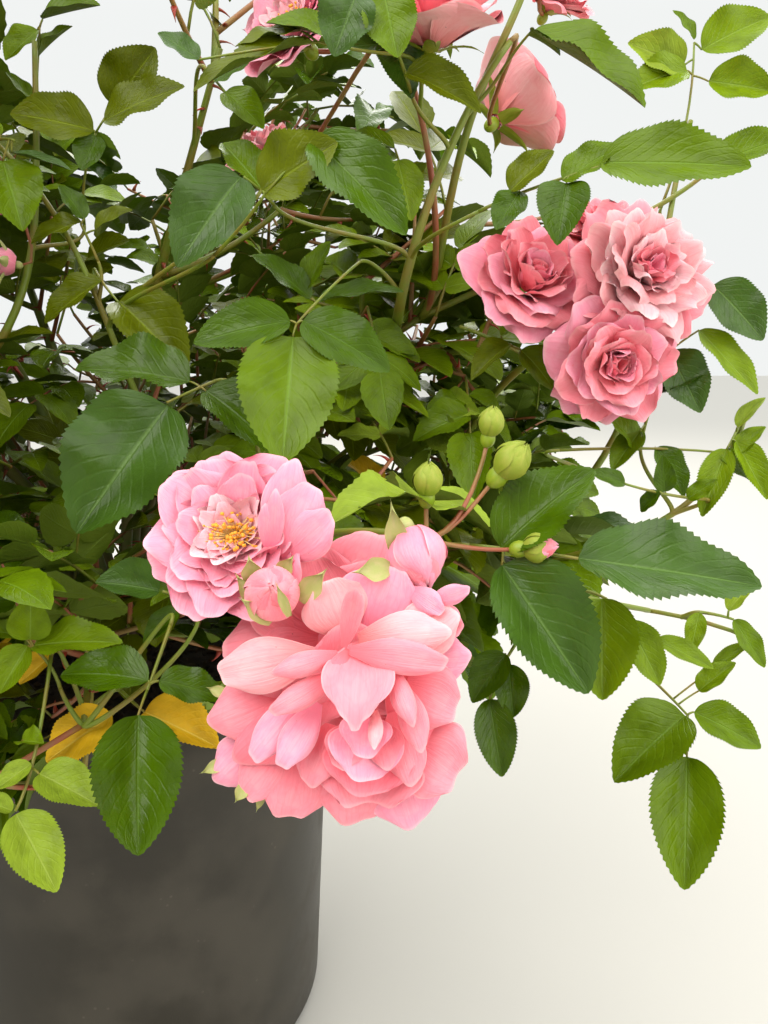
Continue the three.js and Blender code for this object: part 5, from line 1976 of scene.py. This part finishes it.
class ROSE_OT_crown_blooms(bpy.types.Operator):
    """Make the roses that flower on the shoots of the rest of the crown"""

    bl_idname = "rose.crown_blooms"
    bl_label = "Crown roses"

    def execute(self, context):
        settings = context.scene.rose_blooms
        petals, greens, threads = Heap(), Heap(), Heap()
        kinds = ("loose", "cupped", "open", "ruffled")
        for seed, (mass, centre, axis, curve) in enumerate(growth().roses):
            kind = kinds[int(dice(seed, 3)(0, 3.99))]
            lay_bloom(petals, greens, threads, centre, axis, ROSE_RADIUS, kind, seed + 40, PLAIN_PETAL,
                      settings.stamens // 2)
            stalk = stalk_curve(curve, 0.9, centre, axis, 5 - ROSE_RADIUS * 0.62)
            greens.add(TWIG_TUBE, bent_tube(TWIG_TUBE, stalk, taper(1.3, 1.0)), STALK_RED)
        put_roses("crown", petals, greens, threads, context.scene)
        return {"FINISHED"}


# name, place and size in metres, share of the light
LAMPS = (
    ("key", (-0.7, -1.3, 1.9), 1.6, 1.0),
    ("fill", (1.5, -1.0, 1.0), 1.6, 0.6),
    ("back", (0.2, 1.6, 1.7), 1.8, 0.9),
)
LAMP_AIM = Vector((0.05, -0.05, 0.32))


class ROSE_OT_stage(bpy.types.Operator):
    """Lay the pale floor, hang the soft lights and set the camera"""

    bl_idname = "rose.stage"
    bl_label = "Stage"

    def execute(self, context):
        settings = context.scene.rose_stage
        bm = bmesh.new()
        bmesh.ops.create_grid(bm, x_segments=8, y_segments=8, size=6)
        mesh = mesh_of("floor", bm)
        mesh.materials.append(floor_paint("Floor_Paper", settings.floor))
        in_scene("floor", mesh)
        for name, place, size, share in LAMPS:
            light = bpy.data.lights.new(name, "AREA")
            light.energy = settings.light * share
            light.size = size
            light.color = (1.0, 0.97, 0.91)
            lamp = in_scene(name, light)
            lamp.location = place
            lamp.rotation_euler = (LAMP_AIM - Vector(place)).to_track_quat("-Z", "Y").to_euler()
        world = bpy.data.worlds.new("surround")
        world.use_nodes = True
        tree = world.node_tree
        level = tree.nodes.new("ShaderNodeSeparateXYZ")
        tree.links.new(tree.nodes.new("ShaderNodeTexCoord").outputs["Generated"], level.inputs[0])
        around = ramp(tree, level.outputs["Y"], -0.7, 0.25, settings.surround * 0.5, settings.surround)
        above = ramp(tree, level.outputs["Z"], 0.3, 0.9, 1.0, 2.6)
        feed(tree, tree.nodes["Background"], Color=(0.93, 0.95, 0.94), Strength=times(tree, around, above))
        context.scene.world = world
        context.scene.view_settings.view_transform = "Standard"
        camera = bpy.data.cameras.new("camera")
        camera.sensor_width = 36
        camera.lens = camera.sensor_width * FOCAL / (2 * MIDDLE[1])
        camera.clip_start = 0.01
        eye = in_scene("camera", camera)
        eye.location = VIEW_POINT * MM
        eye.rotation_euler = (math.radians(90 - VIEW_TIP), 0, 0)
        context.scene.camera = eye
        return {"FINISHED"}


class ROSE_PT_panel(bpy.types.Panel):
    bl_label = "Rose Bush"
    bl_idname = "ROSE_PT_panel"
    bl_space_type = "VIEW_3D"
    bl_region_type = "UI"
    bl_category = "Rose Bush"

    def draw(self, context):
        for label, group, operators in PANEL:
            box = self.layout.box()
            box.label(text=label)
            settings = getattr(context.scene, group)
            for prop in settings.bl_rna.properties:
                if prop.identifier not in ("rna_type", "name"):
                    box.prop(settings, prop.identifier)
            for operator in operators:
                box.operator(operator)


PANEL = (
    ("Pot", "rose_pot", ("rose.pot",)),
    ("Compost", "rose_compost", ("rose.compost",)),
    ("Wood", "rose_canes", ("rose.foot", "rose.canes")),
    ("Leaves", "rose_leaves", ("rose.foliage",)),
    ("Roses", "rose_blooms", ("rose.front_blooms", "rose.crown_blooms")),
    ("Stage", "rose_stage", ("rose.stage",)),
)
SETTINGS = {
    "rose_pot": RosePotSettings,
    "rose_compost": RoseCompostSettings,
    "rose_canes": RoseCaneSettings,
    "rose_leaves": RoseLeafSettings,
    "rose_blooms": RoseBloomSettings,
    "rose_stage": RoseStageSettings,
}
CLASSES = (
    ROSE_OT_pot, ROSE_OT_compost, ROSE_OT_foot, ROSE_OT_canes, ROSE_OT_foliage, ROSE_OT_front_blooms,
    ROSE_OT_crown_blooms, ROSE_OT_stage, ROSE_PT_panel,
)


def register():
    for name, group in SETTINGS.items():
        bpy.utils.register_class(group)
        setattr(bpy.types.Scene, name, PointerProperty(type=group))
    for item in CLASSES:
        bpy.utils.register_class(item)


def unregister():
    for item in reversed(CLASSES):
        bpy.utils.unregister_class(item)
    for name, group in reversed(SETTINGS.items()):
        delattr(bpy.types.Scene, name)
        bpy.utils.unregister_class(group)


def main():
    register()
    bpy.ops.rose.stage()
    bpy.ops.rose.pot()
    bpy.ops.rose.compost()
    bpy.ops.rose.foot()
    bpy.ops.rose.canes()
    bpy.ops.rose.foliage()
    bpy.ops.rose.front_blooms()
    bpy.ops.rose.crown_blooms()


if __name__ == "__main__":
    main()
